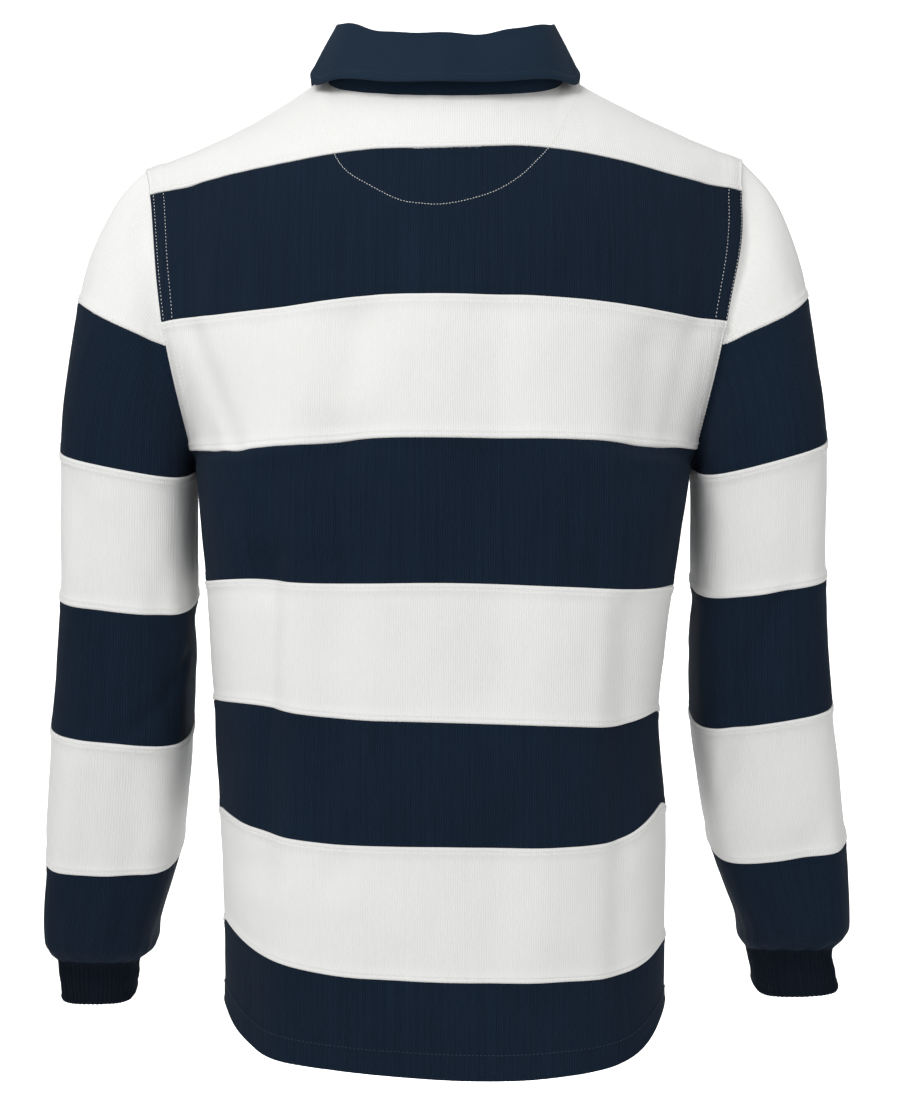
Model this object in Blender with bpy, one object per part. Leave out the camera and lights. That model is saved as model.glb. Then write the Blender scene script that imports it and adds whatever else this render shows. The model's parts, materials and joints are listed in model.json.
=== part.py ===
"""Long-sleeved rugby shirt, worn form with no wearer: striped jersey body and sleeves, twill collar, rib cuffs.

Frame: metres, +Z up, the shirt's front faces -Y and its left sleeve is at +X. The origin is midway between the
neck ends of the two shoulder seams, where the wearer's shoulders carry the shirt.

The body is a sheet over two numbers. u runs across a panel, from -1 at the right edge over 0 at the middle to
1 at the left edge. v runs down it, from 0 at the neck and shoulder seams to 8 at the hem, with a whole number at
each stripe's seam. A sleeve is a sheet over an angle round it and w, from 0 at the armhole to 7 at the cuff.
"""

import math
from collections import namedtuple

import bmesh
import bpy
import numpy as np

# Cloth.
JERSEY = 0.0016
TWILL = 0.0017
RIB = 0.0020
SEAM_GAP = 0.0003

# Neck and shoulder seams. A shoulder seam falls by slope * s - ease * s^2 at a distance s from its neck end.
# The cloth leaves these seams nearly level, falling by TOP_FALL, with TOP_ROUND of that way at the neck and
# TIP_ROUND at the shoulder's tip. STEP is the step that slopes are taken with.
NECK_HALF_WIDTH = 0.094
NECK_BACK_DEPTH = 0.058
NECK_FRONT_DEPTH = 0.064
NECK_BACK_DROP = 0.029
NECK_FRONT_DROP = 0.085
NECK_BACK_POWER = 0.7
NECK_U = 0.36
TOP_ROUND = 0.25
TIP_ROUND = 0.90
TOP_FALL = -0.15
STEP = 1e-3
Shoulder = namedtuple("Shoulder", "tip_x slope ease")
SHOULDERS = {1: Shoulder(0.239, 0.740, 1.50), -1: Shoulder(0.237, 0.575, 0.68)}

# The body at each seam. back and front give the centre line, left and right the armhole's edge and, from the
# underarm down, the side seam. arm_back and arm_front give that edge's depth, front_in how far the front's edge
# lies inside the back's, and front_low how far below it. spread is the angle that a panel turns through, full
# rounds its corners out, and sweep bends its seams towards the edges.
Station = namedtuple(
    "Station",
    "name v back_y back_z front_y front_z left_x left_z right_x right_z "
    "arm_back arm_front front_in front_low spread full sweep",
)
STATIONS = [
    Station("seam_1", 1, 0.085, -0.074, -0.078, -0.100, 0.233, -0.099, 0.233, -0.096,
            0.020, -0.022, 0.004, 0.010, 40, 0.00, 1.6),
    Station("seam_2", 2, 0.122, -0.189, -0.118, -0.196, 0.219, -0.203, 0.217, -0.202,
            0.055, -0.048, 0.012, 0.002, 52, 0.00, 1.6),
    Station("seam_3", 3, 0.130, -0.296, -0.130, -0.298, 0.199, -0.301, 0.196, -0.300,
            0.030, -0.026, 0.002, 0.000, 74, 0.05, 2.2),
    Station("underarm", 3.15, 0.130, -0.312, -0.131, -0.313, 0.196, -0.316, 0.193, -0.318,
            0.000, 0.000, 0.000, 0.000, 90, 0.08, 2.4),
    Station("seam_4", 4, 0.128, -0.403, -0.129, -0.398, 0.189, -0.403, 0.180, -0.407,
            0.000, 0.000, 0.000, 0.000, 90, 0.07, 2.6),
    Station("seam_5", 5, 0.128, -0.506, -0.126, -0.500, 0.1835, -0.499, 0.170, -0.508,
            0.000, 0.000, 0.000, 0.000, 90, 0.055, 2.6),
    Station("seam_6", 6, 0.130, -0.597, -0.126, -0.590, 0.179, -0.583, 0.175, -0.582,
            0.000, 0.000, 0.000, 0.000, 90, 0.055, 2.6),
    Station("seam_7", 7, 0.134, -0.696, -0.128, -0.684, 0.1745, -0.675, 0.174, -0.688,
            0.000, 0.000, 0.000, 0.000, 90, 0.055, 2.6),
    Station("hem", 8, 0.136, -0.767, -0.129, -0.750, 0.175, -0.738, 0.174, -0.738,
            0.000, 0.000, 0.000, 0.000, 90, 0.055, 2.6),
]
V_KNOTS = [0] + [s.v for s in STATIONS]
UNDERARM_V = 3.15

# How far each seam of the back lies below its even place, as a share of a stripe, at each u of WANDER_US.
WANDER_US = (-1, -0.875, -0.75, -0.5, -0.25, 0, 0.25, 0.5, 0.75, 0.875, 1)
WANDERS = (
    (0, 0, 0, 0, 0, 0, 0, 0, 0, 0, 0),
    (0, 0.020, 0.021, -0.037, -0.054, 0, -0.021, 0.010, 0.030, 0.032, 0),
    (0, 0.015, 0.017, -0.003, -0.007, 0, -0.003, 0.032, 0.025, 0.005, 0),
    (0, 0.018, 0.022, 0.014, 0.004, 0, 0.006, 0.048, 0.046, 0.025, 0),
    (0, 0.004, 0.007, 0.044, 0.026, 0, 0.006, -0.020, -0.006, -0.005, 0),
    (0, -0.018, -0.037, 0.049, 0.030, 0, -0.026, -0.095, -0.087, -0.050, 0),
    (0, -0.097, -0.179, -0.007, 0.016, 0, -0.006, -0.065, -0.139, -0.082, 0),
    (0, -0.098, -0.117, 0.014, 0.015, 0, -0.037, -0.137, -0.250, -0.140, 0),
    (0, -0.299, -0.285, -0.061, 0.013, 0, -0.072, -0.115, -0.309, -0.245, 0),
)

# The largest folds of the body: soft troughs (depth below 0 is a ridge) along a line, top to bottom.
Fold = namedtuple("Fold", "face x_top z_top x_low z_low width depth")
FOLDS = [
    Fold("back", 0.070, -0.215, 0.088, -0.300, 0.024, 0.0055),
    Fold("back", 0.132, -0.325, 0.137, -0.395, 0.024, 0.0060),
    Fold("back", 0.076, -0.300, 0.080, -0.380, 0.028, 0.0050),
    Fold("back", 0.137, -0.400, 0.142, -0.610, 0.022, 0.0075),
    Fold("back", 0.076, -0.400, 0.086, -0.610, 0.024, 0.0050),
    Fold("back", -0.030, -0.210, -0.028, -0.480, 0.030, 0.0035),
    Fold("back", -0.160, -0.230, -0.150, -0.320, 0.024, 0.0060),
    Fold("back", -0.138, -0.440, -0.140, -0.720, 0.024, 0.0045),
    Fold("front", 0.150, -0.260, 0.110, -0.480, 0.026, 0.0060),
    Fold("front", -0.145, -0.270, -0.120, -0.520, 0.028, 0.0065),
    Fold("front", 0.060, -0.420, 0.075, -0.640, 0.028, 0.0050),
    Fold("front", -0.050, -0.380, -0.060, -0.600, 0.030, 0.0045),
]
FOLD_FADE = 0.035

# Rows of body mesh. The row at 2.18 is where the sleeve's cap seam meets the armhole.
V_ROWS = {
    1: (0, 0.30, 0.64, 1),
    2: (1, 1.33, 1.67, 2),
    3: (2, 2.18, 2.41, 2.70, 3),
    4: (3, UNDERARM_V, 3.42, 3.70, 4),
    5: (4, 4.33, 4.67, 5),
    6: (5, 5.33, 5.67, 6),
    7: (6, 6.33, 6.67, 7),
    8: (7, 7.33, 7.67, 8),
}
CAP_V = 2.18
NECK_COLUMNS = 6
BACK_COLUMNS = 7
FRONT_COLUMNS = 6

# A sleeve's rings from the first full one, at its second seam, to the cuff's edge. out and in give its outer
# and inner side, y its middle, depth half its size along Y, and tilt how much its back drops for each metre.
Ring = namedtuple("Ring", "name w out_x out_z in_x in_z y depth tilt")
RINGS = {
    1: [
        Ring("seam_2", 2, 0.3036, -0.2945, 0.1995, -0.3148, 0.000, 0.063, 0.19),
        Ring("seam_3", 3, 0.3072, -0.4118, 0.2015, -0.4216, -0.016, 0.061, 0.18),
        Ring("seam_4", 4, 0.3182, -0.5141, 0.2070, -0.5247, -0.036, 0.058, 0.21),
        Ring("seam_5", 5, 0.3285, -0.6200, 0.2185, -0.6232, -0.058, 0.054, 0.35),
        Ring("blouse", 5.60, 0.3330, -0.6945, 0.2395, -0.6905, -0.073, 0.049, 0.14),
        Ring("tuck", 5.86, 0.3285, -0.7110, 0.2445, -0.7100, -0.078, 0.044, 0.04),
        Ring("join", 6, 0.3237, -0.7200, 0.2565, -0.7210, -0.081, 0.034, -0.05),
        Ring("cuff", 6.5, 0.3225, -0.7360, 0.2590, -0.7360, -0.084, 0.0315, 0.05),
        Ring("edge", 7, 0.3205, -0.7490, 0.2615, -0.7490, -0.087, 0.030, 0.20),
    ],
    -1: [
        Ring("seam_2", 2, 0.3014, -0.2850, 0.1970, -0.3128, 0.000, 0.063, 0.20),
        Ring("seam_3", 3, 0.3034, -0.3950, 0.1990, -0.4092, -0.016, 0.061, 0.175),
        Ring("seam_4", 4, 0.3127, -0.4969, 0.2005, -0.5137, -0.036, 0.058, 0.175),
        Ring("seam_5", 5, 0.3280, -0.6065, 0.2180, -0.6194, -0.058, 0.054, 0.28),
        Ring("blouse", 5.60, 0.3345, -0.6830, 0.2425, -0.6840, -0.073, 0.049, 0.08),
        Ring("tuck", 5.86, 0.3305, -0.7000, 0.2460, -0.7030, -0.078, 0.044, -0.02),
        Ring("join", 6, 0.3230, -0.7120, 0.2525, -0.7120, -0.081, 0.034, -0.11),
        Ring("cuff", 6.5, 0.3250, -0.7270, 0.2565, -0.7290, -0.084, 0.0325, 0.05),
        Ring("edge", 7, 0.3280, -0.7410, 0.2595, -0.7430, -0.087, 0.032, 0.20),
    ],
}
W_ROWS = {
    3: (2, 2.33, 2.67, 3),
    4: (3, 3.33, 3.67, 4),
    5: (4, 4.33, 4.67, 5),
    6: (5, 5.33, 5.60, 5.76, 5.88, 6),
}
CUFF_ROWS = (6, 6.5, 7)
UPPER_ROWS = 4
CAP_SEAM_OUT_Z = {1: -0.182, -1: -0.178}
CAP_SEAM_POWER = 1.4
CAP_TIP_BACK = 0.12
SLEEVE_FULL = 0.07

# How the upper sleeve leaves the armhole: outwards, and at the underarm downwards. LEAVE and ARRIVE weigh its
# two ends, each as a share of the way between them, and LEAVE_TOP is added over the shoulder.
LEAVE_CHORD = 0.5
LEAVE_OUT = 0.8
OUT_UNDER, OUT_TOP = 0.45, 1.0
OUT_SIDE = 0.35
DROP_UNDER, DROP_TOP = -0.55, -0.35
LEAVE = 0.75
LEAVE_TOP = 0.15
ARRIVE = 1.1

# The collar at angles round the neck, 0 at the back and 180 at the front. top is the stand's upper edge and
# edge the fall's lower one.
Collar = namedtuple("Collar", "angle top_x top_y top_z edge_x edge_y edge_z")
COLLAR = [
    Collar(0, 0.000, 0.052, 0.014, 0.000, 0.073, -0.0205),
    Collar(25, 0.036, 0.048, 0.0163, 0.044, 0.067, -0.0190),
    Collar(55, 0.068, 0.032, 0.0255, 0.084, 0.045, -0.0120),
    Collar(75, 0.081, 0.016, 0.0318, 0.1035, 0.023, -0.0120),
    Collar(90, 0.084, 0.000, 0.032, 0.1075, 0.006, -0.0015),
    Collar(125, 0.073, -0.035, 0.010, 0.105, -0.044, -0.0330),
    Collar(150, 0.045, -0.056, -0.030, 0.081, -0.0775, -0.0800),
    Collar(172, 0.014, -0.070, -0.062, 0.051, -0.0910, -0.1200),
]
COLLAR_END = 172
COLLAR_LIFT = 0.0006
STAND_BELLY = 0.001

# The roll at the collar's top edge, as shares of its width out and its rise up, and the fall from there down.
FOLD_RISE = 0.006
FOLD_WIDTH = 0.0050
Roll = namedtuple("Roll", "out up")
ROLL = (Roll(0.18, 0.80), Roll(0.55, 1.00), Roll(1.00, 0.35))
FALL_ROWS = (0.3, 0.65, 1.0)
FALL_BELLY = 0.0005

# The placket's outer strip, and the strip under it that carries the buttons.
SLIT_U = 0.004
SLIT_LOW_V = 2.41
PLACKET_HALF = 0.017
UNDER_HALF = 0.0145
PLACKET_VS = (0, 0.30, 0.64, 1, 1.33, 1.67, 2, 2.18, 2.41, 2.70)
LAY = 0.0006
UNDER_LAY = 0.0005

# Rubber buttons.
BUTTON_RADIUS = 0.0058
BUTTON_THICK = 0.0030
BUTTON_DISH = 0.0009
BUTTON_SIDES = 20
Turn = namedtuple("Turn", "radius height")
BUTTON_PROFILE = (
    Turn(0.55 * BUTTON_RADIUS, BUTTON_THICK - BUTTON_DISH),
    Turn(0.72 * BUTTON_RADIUS, BUTTON_THICK),
    Turn(0.93 * BUTTON_RADIUS, BUTTON_THICK * 0.95),
    Turn(BUTTON_RADIUS, BUTTON_THICK * 0.6),
    Turn(0.96 * BUTTON_RADIUS, 0.0),
)
BUTTON_VS = (0.99, 1.55, 2.12)

Finish = namedtuple("Finish", "color roughness")
FINISHES = {
    "white_jersey": Finish((0.82, 0.82, 0.81), 0.9),
    "navy_jersey": Finish((0.012, 0.021, 0.040), 0.9),
    "navy_twill": Finish((0.015, 0.030, 0.052), 0.8),
    "navy_rib": Finish((0.010, 0.015, 0.028), 0.9),
    "white_rubber": Finish((0.75, 0.75, 0.73), 0.5),
}


# ---- curves ----

def hermite(p0, p1, m0, m1, t):
    """The point at t on the cubic from p0 to p1 with end slopes m0 and m1."""
    t2, t3 = t * t, t * t * t
    return (2 * t3 - 3 * t2 + 1) * p0 + (t3 - 2 * t2 + t) * m0 + (3 * t2 - 2 * t3) * p1 + (t3 - t2) * m1


def span(knots, x):
    """The interval of the knots that holds x."""
    return max(i for i in range(len(knots) - 1) if i == 0 or x >= knots[i] - 1e-12)


def slope(knots, points, i):
    """The slope of a smooth curve through points at knot i."""
    low, high = max(i - 1, 0), min(i + 1, len(knots) - 1)
    return (points[high] - points[low]) / (knots[high] - knots[low])


def through(knots, points, x):
    """The point at x on a smooth curve through points at the knots."""
    i = span(knots, x)
    width = knots[i + 1] - knots[i]
    ends = slope(knots, points, i) * width, slope(knots, points, i + 1) * width
    return hermite(points[i], points[i + 1], *ends, (x - knots[i]) / width)


def smooth(t):
    t = min(max(t, 0.0), 1.0)
    return t * t * (3 - 2 * t)


def unit(v):
    return v / max(np.linalg.norm(v), 1e-30)


# ---- body ----

def neck(angle, side):
    """The neck seam at an angle in degrees: 0 at the back, 90 at the shoulder seam, 180 at the front."""
    a = math.radians(angle)
    x = side * NECK_HALF_WIDTH * math.sin(a)
    if angle <= 90:
        rise = max(math.cos(a), 0.0) ** NECK_BACK_POWER
        return np.array([x, NECK_BACK_DEPTH * math.cos(a), -NECK_BACK_DROP * rise])
    return np.array([x, NECK_FRONT_DEPTH * math.cos(a), NECK_FRONT_DROP * math.cos(a)])


def shoulder_seam(side, t):
    """A shoulder seam from its neck end (t = 0) to the armhole (t = 1)."""
    s = SHOULDERS[side]
    run = t * (s.tip_x - NECK_HALF_WIDTH)
    return np.array([side * (NECK_HALF_WIDTH + run), 0.0, -s.slope * run + s.ease * run * run])


def top_row(face, side, u):
    """The neck seam up to NECK_U, then the shoulder seam."""
    if u >= NECK_U:
        return shoulder_seam(side, (u - NECK_U) / (1 - NECK_U))
    turn = 90 * u / NECK_U
    return neck(turn if face == "back" else 180 - turn, side)


def station_row(s, face, side, u):
    """A seam's row: an oval arc from the centre line to the armhole or side seam."""
    x = s.left_x if side > 0 else s.right_x
    z = s.left_z if side > 0 else s.right_z
    y, mid_y, mid_z = s.arm_back, s.back_y, s.back_z
    if face == "front":
        x, z = x - s.front_in, z - s.front_low
        y, mid_y, mid_z = s.arm_front, s.front_y, s.front_z
    end = math.radians(s.spread)
    a = end * u
    across = (math.sin(a) + s.full * math.sin(3 * a)) / (math.sin(end) + s.full * math.sin(3 * end))
    last = 1 - s.full - math.cos(end) + s.full * math.cos(3 * end)
    turned = (1 - s.full - math.cos(a) + s.full * math.cos(3 * a)) / last
    return np.array([side * x * across, mid_y + (y - mid_y) * turned, mid_z + (z - mid_z) * u**s.sweep])


def row(i, face, side, u):
    return top_row(face, side, u) if i == 0 else station_row(STATIONS[i - 1], face, side, u)


def row_slope(i, face, side, u, below):
    """How the body runs down through row i. At the underarm the edge turns, so each side has its own slope."""
    here = row(i, face, side, u)
    last = len(V_KNOTS) - 1
    if i == 0:
        chord = row(1, face, side, u) - here
        level = np.array([0.0, 1.0 if face == "back" else -1.0, TOP_FALL]) * np.linalg.norm(chord)
        round_over = TOP_ROUND + (TIP_ROUND - TOP_ROUND) * smooth((u - NECK_U / 2) / (1 - NECK_U))
        return (chord * (1 - round_over) + level * round_over) / V_KNOTS[1]
    up = (here - row(i - 1, face, side, u)) / (V_KNOTS[i] - V_KNOTS[i - 1])
    if i == last:
        return up
    down = (row(i + 1, face, side, u) - here) / (V_KNOTS[i + 1] - V_KNOTS[i])
    share = (V_KNOTS[i] - V_KNOTS[i - 1]) / (V_KNOTS[i + 1] - V_KNOTS[i - 1])
    middle = up * share + down * (1 - share)
    if V_KNOTS[i] != UNDERARM_V:
        return middle
    turn = abs(u) ** 6
    return middle * (1 - turn) + (down if below else up) * turn


def wander(u, v):
    """How far a point of the back lies below its even place, in stripes."""
    above = min(int(v), len(WANDERS) - 2)
    upper, lower = (through(WANDER_US, WANDERS[i], u) for i in (above, above + 1))
    return upper + (lower - upper) * (v - above)


def panel(face, u, v):
    """A point of the body without its folds."""
    if face == "back":
        v += wander(u, v)
    side = 1 if u >= 0 else -1
    u = abs(u)
    i = span(V_KNOTS, v)
    width = V_KNOTS[i + 1] - V_KNOTS[i]
    start = row_slope(i, face, side, u, True) * width
    end = row_slope(i + 1, face, side, u, False) * width
    t = (v - V_KNOTS[i]) / width
    return hermite(row(i, face, side, u), row(i + 1, face, side, u), start, end, t)


def facing(sheet, a, b, step_a, step_b):
    """The normal of a sheet at (a, b), from its slopes. step_a and step_b give the side that is looked to."""
    here = sheet(a, b)
    return unit(np.cross(sheet(a + step_a, b) - here, sheet(a, b + step_b) - here) * (step_a * step_b))


def folded(face, p):
    """How far the folds push the cloth in at p."""
    push = 0.0
    for f in FOLDS:
        if f.face != face:
            continue
        t = (f.z_top - p[2]) / (f.z_top - f.z_low)
        length = f.z_top - f.z_low
        fade = smooth((t * length + FOLD_FADE) / FOLD_FADE) * smooth(((1 - t) * length + FOLD_FADE) / FOLD_FADE)
        off = (p[0] - (f.x_top + (f.x_low - f.x_top) * t)) / f.width
        push += f.depth * fade * math.exp(-off * off)
    return push


def body_normal(face, u, v, sheet):
    """The way the body's cloth faces, looking inwards from a panel's edges."""
    step_u = -STEP if u > 0 else STEP
    step_v = -STEP if v > UNDERARM_V + 1 else STEP
    n = facing(lambda a, b: sheet(face, a, b), u, v, step_u, step_v)
    return n if face == "back" else -n


def body(face, u, v):
    """A point of the body, with its folds."""
    p = panel(face, u, v)
    return p - body_normal(face, u, v, panel) * folded(face, p)


def arm_edge(side, face, v):
    return body(face, side, v)


# ---- sleeves ----

def ring_point(ring, side, angle):
    """A point of a sleeve's ring: angle 0 outside, 90 at the back, 180 inside."""
    c, s = math.cos(angle), math.sin(angle)
    k = SLEEVE_FULL
    c, s = (c - k * math.cos(3 * angle)) / (1 - k), (s + k * math.sin(3 * angle)) / (1 - k)
    x = (ring.out_x + ring.in_x) / 2 + c * (ring.out_x - ring.in_x) / 2
    z = (ring.out_z + ring.in_z) / 2 + c * (ring.out_z - ring.in_z) / 2
    return np.array([side * x, ring.y + s * ring.depth, z - s * ring.depth * ring.tilt])


def lower_sleeve(side, angle, w):
    rings = RINGS[side]
    knots = [r.w for r in rings]
    return through(knots, [ring_point(r, side, angle) for r in rings], w)


def armhole(side):
    """The armhole's rows, down the back to the underarm and up the front, with their angles."""
    rows = sorted({v for band in (1, 2, 3, 4) for v in V_ROWS[band] if v <= UNDERARM_V})
    back = [("back", v) for v in rows]
    front = [("front", v) for v in reversed(rows[1:-1])]
    angles = []
    for face in ("back", "front"):
        points = [arm_edge(side, face, v) for v in rows]
        steps = [np.linalg.norm(b - a) for a, b in zip(points, points[1:])]
        angles.append([math.pi * sum(steps[:i]) / sum(steps) for i in range(len(rows))])
    turned = [2 * math.pi - a for a in reversed(angles[1][1:-1])]
    return back + front, angles[0] + turned


def upper_sleeve(side, face, v, angle, t):
    """The sleeve from the armhole's row v (t = 0) to its first full ring (t = 1)."""
    start, end = arm_edge(side, face, v), ring_point(RINGS[side][0], side, angle)
    chord = end - start
    size = np.linalg.norm(chord)
    over = (1 + math.cos(angle)) / 2
    out_x = side * (OUT_UNDER + (OUT_TOP - OUT_UNDER) * over)
    out = np.array([out_x, OUT_SIDE * math.sin(angle), DROP_UNDER + (DROP_TOP - DROP_UNDER) * over])
    leave = unit(unit(chord) * LEAVE_CHORD + out * LEAVE_OUT) * size * (LEAVE + LEAVE_TOP * over)
    below = lower_sleeve(side, angle, RINGS[side][0].w + STEP) - end
    arrive = unit(below) * size * ARRIVE
    return hermite(start, end, leave, arrive, t)


def cap_seam(side, face, v, angle):
    """Where the cap's seam crosses the sleeve's line from the armhole's row v: 0 where it meets the armhole."""
    if v >= CAP_V:
        return 0.0
    meet = arm_edge(side, face, CAP_V)[2]
    outside = CAP_SEAM_OUT_Z[side]
    turn = math.sin(angle / 2 if face == "back" else math.pi - angle / 2)
    share = (turn / CAP_SHARE[side, face]) ** CAP_SEAM_POWER
    target = outside + (meet - outside) * share
    low, high = 0.0, 1.0
    for _ in range(40):
        t = (low + high) / 2
        if upper_sleeve(side, face, v, angle, t)[2] > target:
            low = t
        else:
            high = t
    return low


# ---- solids ----

def material(name):
    finish = FINISHES[name]
    m = bpy.data.materials.get(name) or bpy.data.materials.new(name)
    m.use_nodes = True
    shader = m.node_tree.nodes["Principled BSDF"]
    shader.inputs["Base Color"].default_value = (*finish.color, 1)
    shader.inputs["Roughness"].default_value = finish.roughness
    return m


def drawn_in(points, closed):
    """A sheet's edges moved in by half the gap at a seam."""
    points = points.copy()
    last = len(points) - 1
    for i, j in ((0, 1), (last, last - 1)):
        for k in range(points.shape[1]):
            points[i, k] += unit(points[j, k] - points[i, k]) * SEAM_GAP / 2
    if not closed:
        last = points.shape[1] - 1
        for i, j in ((0, 1), (last, last - 1)):
            for k in range(len(points)):
                points[k, i] += unit(points[k, j] - points[k, i]) * SEAM_GAP / 2
    return points


def wall(name, finish, points, normals, thick, closed=False, skip=()):
    """A cloth wall: points is its outer face by rows, and normals point out of it. skip names open cells."""
    rows, columns = points.shape[:2]
    mesh = bmesh.new()
    outer = [[mesh.verts.new(p) for p in line] for line in points]
    inner = [[mesh.verts.new(p) for p in line] for line in points - normals * thick]
    across = range(columns if closed else columns - 1)
    cells = [(i, j) for i in range(rows - 1) for j in across if (i, j) not in skip]
    borders = {}
    for i, j in cells:
        k = (j + 1) % columns
        corners = [(i, j), (i + 1, j), (i + 1, k), (i, k)]
        mesh.faces.new([outer[a][b] for a, b in corners])
        mesh.faces.new([inner[a][b] for a, b in reversed(corners)])
        for start, end in zip(corners, corners[1:] + corners[:1]):
            if borders.pop((end, start), None) is None:
                borders[start, end] = True
    for (a, b), (c, d) in borders:
        mesh.faces.new([outer[c][d], outer[a][b], inner[a][b], inner[c][d]])
    bmesh.ops.remove_doubles(mesh, verts=mesh.verts, dist=1e-6)
    bmesh.ops.triangulate(mesh, faces=mesh.faces)
    bmesh.ops.recalc_face_normals(mesh, faces=mesh.faces)
    return finish_object(name, finish, mesh)


def finish_object(name, finish, mesh):
    data = bpy.data.meshes.new(name)
    mesh.to_mesh(data)
    mesh.free()
    data.shade_smooth()
    data.set_sharp_from_angle(angle=math.radians(40))
    data.materials.append(material(finish))
    made = bpy.data.objects.new(name, data)
    bpy.context.scene.collection.objects.link(made)
    return made


def half_columns(outer, first=0.0):
    """Columns from the centre line out: even ones along the neck seam, then outer ones along the shoulder."""
    us = [NECK_U * i / NECK_COLUMNS for i in range(NECK_COLUMNS)]
    us += [NECK_U + (1 - NECK_U) * i / outer for i in range(outer + 1)]
    us[0] = first
    return us


def mirrored(us):
    return [-u for u in reversed(us)]


def cloth_normal(face, u, v):
    """The way the body's cloth faces. Along the shoulder seams back and front share one direction."""
    normal = body_normal(face, u, v, body)
    if v > 0 or abs(u) < NECK_U:
        return normal
    other = "front" if face == "back" else "back"
    return unit(normal + body_normal(other, u, v, body))


def shared_normal(side, face, v, angle):
    """At the armhole body and sleeve share one direction through the cloth, but where they face each other."""
    ours = cloth_normal(face, side, v)
    theirs = sleeve_normal(side, face, v, angle, 0.0)
    both = ours + theirs
    return unit(both) if np.linalg.norm(both) > 1.1 else None


def sleeve_normal(side, face, v, angle, t):
    """The way the upper sleeve's cloth faces."""
    step_t = STEP if t < 0.5 else -STEP
    slot = ARM_ROWS[side].index((face, v))
    rows, angles = ARM_ROWS[side], ARM_ANGLES[side]
    after, before = (slot + 1) % len(rows), (slot - 1) % len(rows)
    here = upper_sleeve(side, face, v, angle, t)
    down = (upper_sleeve(side, face, v, angle, t + step_t) - here) * step_t
    ahead = upper_sleeve(side, *rows[after], angles[after], t)
    behind = upper_sleeve(side, *rows[before], angles[before], t)
    return unit(np.cross(down, ahead - behind)) * side


def body_sheet(face, us, vs):
    """The points and normals of a stretch of the body."""
    points = np.array([[body(face, u, v) for u in us] for v in vs])
    normals = np.array([[cloth_normal(face, u, v) for u in us] for v in vs])
    for j, side in ((0, us[0]), (len(us) - 1, us[-1])):
        if side not in (-1, 1):
            continue
        for i, v in enumerate(vs):
            arm_row = ("back" if v in (0, UNDERARM_V) else face, v)
            if arm_row in ARM_ROWS[side]:
                angle = ARM_ANGLES[side][ARM_ROWS[side].index(arm_row)]
                shared = shared_normal(side, *arm_row, angle)
                normals[i, j] = normals[i, j] if shared is None else shared
    return points, normals


def body_band(name, face, band, us, skip=()):
    finish = "white_jersey" if band % 2 else "navy_jersey"
    vs = V_ROWS[band]
    points, normals = body_sheet(face, us, vs)
    wall(name, finish, drawn_in(points, False), normals, JERSEY, skip=skip)


def make_back():
    half = half_columns(BACK_COLUMNS)
    for band in V_ROWS:
        body_band(f"back_{band}_{'white' if band % 2 else 'navy'}", "back", band, mirrored(half)[:-1] + half)


def make_front():
    half = half_columns(FRONT_COLUMNS, SLIT_U)
    for band in V_ROWS:
        colour = "white" if band % 2 else "navy"
        if band <= 2:
            body_band(f"front_{band}_{colour}_left", "front", band, half)
            body_band(f"front_{band}_{colour}_right", "front", band, mirrored(half))
            continue
        us = mirrored(half) + half
        open_cells = [(i, len(half) - 1) for i, v in enumerate(V_ROWS[band][1:]) if v <= SLIT_LOW_V]
        body_band(f"front_{band}_{colour}", "front", band, us, open_cells)


def make_sleeve(side):
    word = "left" if side > 0 else "right"
    rows, angles = ARM_ROWS[side], ARM_ANGLES[side]
    seams = [cap_seam(side, face, v, a) for (face, v), a in zip(rows, angles)]

    def stretch(indices, tops, lows, count):
        points, normals = [], []
        for r in range(count + 1):
            line, faces = [], []
            for j in indices:
                (face, v), angle = rows[j], angles[j]
                t = tops[j] + (lows[j] - tops[j]) * r / count
                line.append(upper_sleeve(side, face, v, angle, t))
                shared = shared_normal(side, face, v, angle) if t == 0 else None
                faces.append(sleeve_normal(side, face, v, angle, t) if shared is None else shared)
            points.append(line)
            normals.append(faces)
        return np.array(points), np.array(normals)

    zero, one = [0.0] * len(rows), [1.0] * len(rows)
    cap = [j for j, (face, v) in enumerate(rows) if face == "front" and v <= CAP_V]
    cap += [j for j, (face, v) in enumerate(rows) if face == "back" and v <= CAP_V]
    points, normals = stretch(cap, zero, seams, UPPER_ROWS)
    points, normals = tapered(points, normals, side)
    wall(f"sleeve_{word}_1_white", "white_jersey", points, normals, JERSEY)
    points, normals = stretch(range(len(rows)), seams, one, UPPER_ROWS + 1)
    normals[-1] = [ring_normal(side, a, 2.0) for a in angles]
    wall(f"sleeve_{word}_2_navy", "navy_jersey", drawn_in(points, True), normals, JERSEY, closed=True)
    for band, ws in W_ROWS.items():
        finish = "white_jersey" if band % 2 else "navy_jersey"
        name = f"sleeve_{word}_{band}_{'white' if band % 2 else 'navy'}"
        tube(name, finish, side, angles, ws, JERSEY)
    tube(f"cuff_{word}", "navy_rib", side, angles, CUFF_ROWS, RIB)


def tapered(points, normals, side):
    """The cap ends in a point at the armhole: its edges are drawn in all along, its tips pulled back."""
    points = points.copy()
    for k in range(1, points.shape[1] - 1):
        points[0, k] += unit(points[1, k] - points[0, k]) * SEAM_GAP / 2
        points[-1, k] += unit(points[-2, k] - points[-1, k]) * SEAM_GAP / 2
    for end, inner in ((0, 1), (points.shape[1] - 1, points.shape[1] - 2)):
        middle = points[points.shape[0] // 2, inner]
        tip = points[0, end] + (middle - points[0, end]) * CAP_TIP_BACK
        points[:, end] = tip
        normals[:, end] = normals[0, end]
    return points, normals


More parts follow.
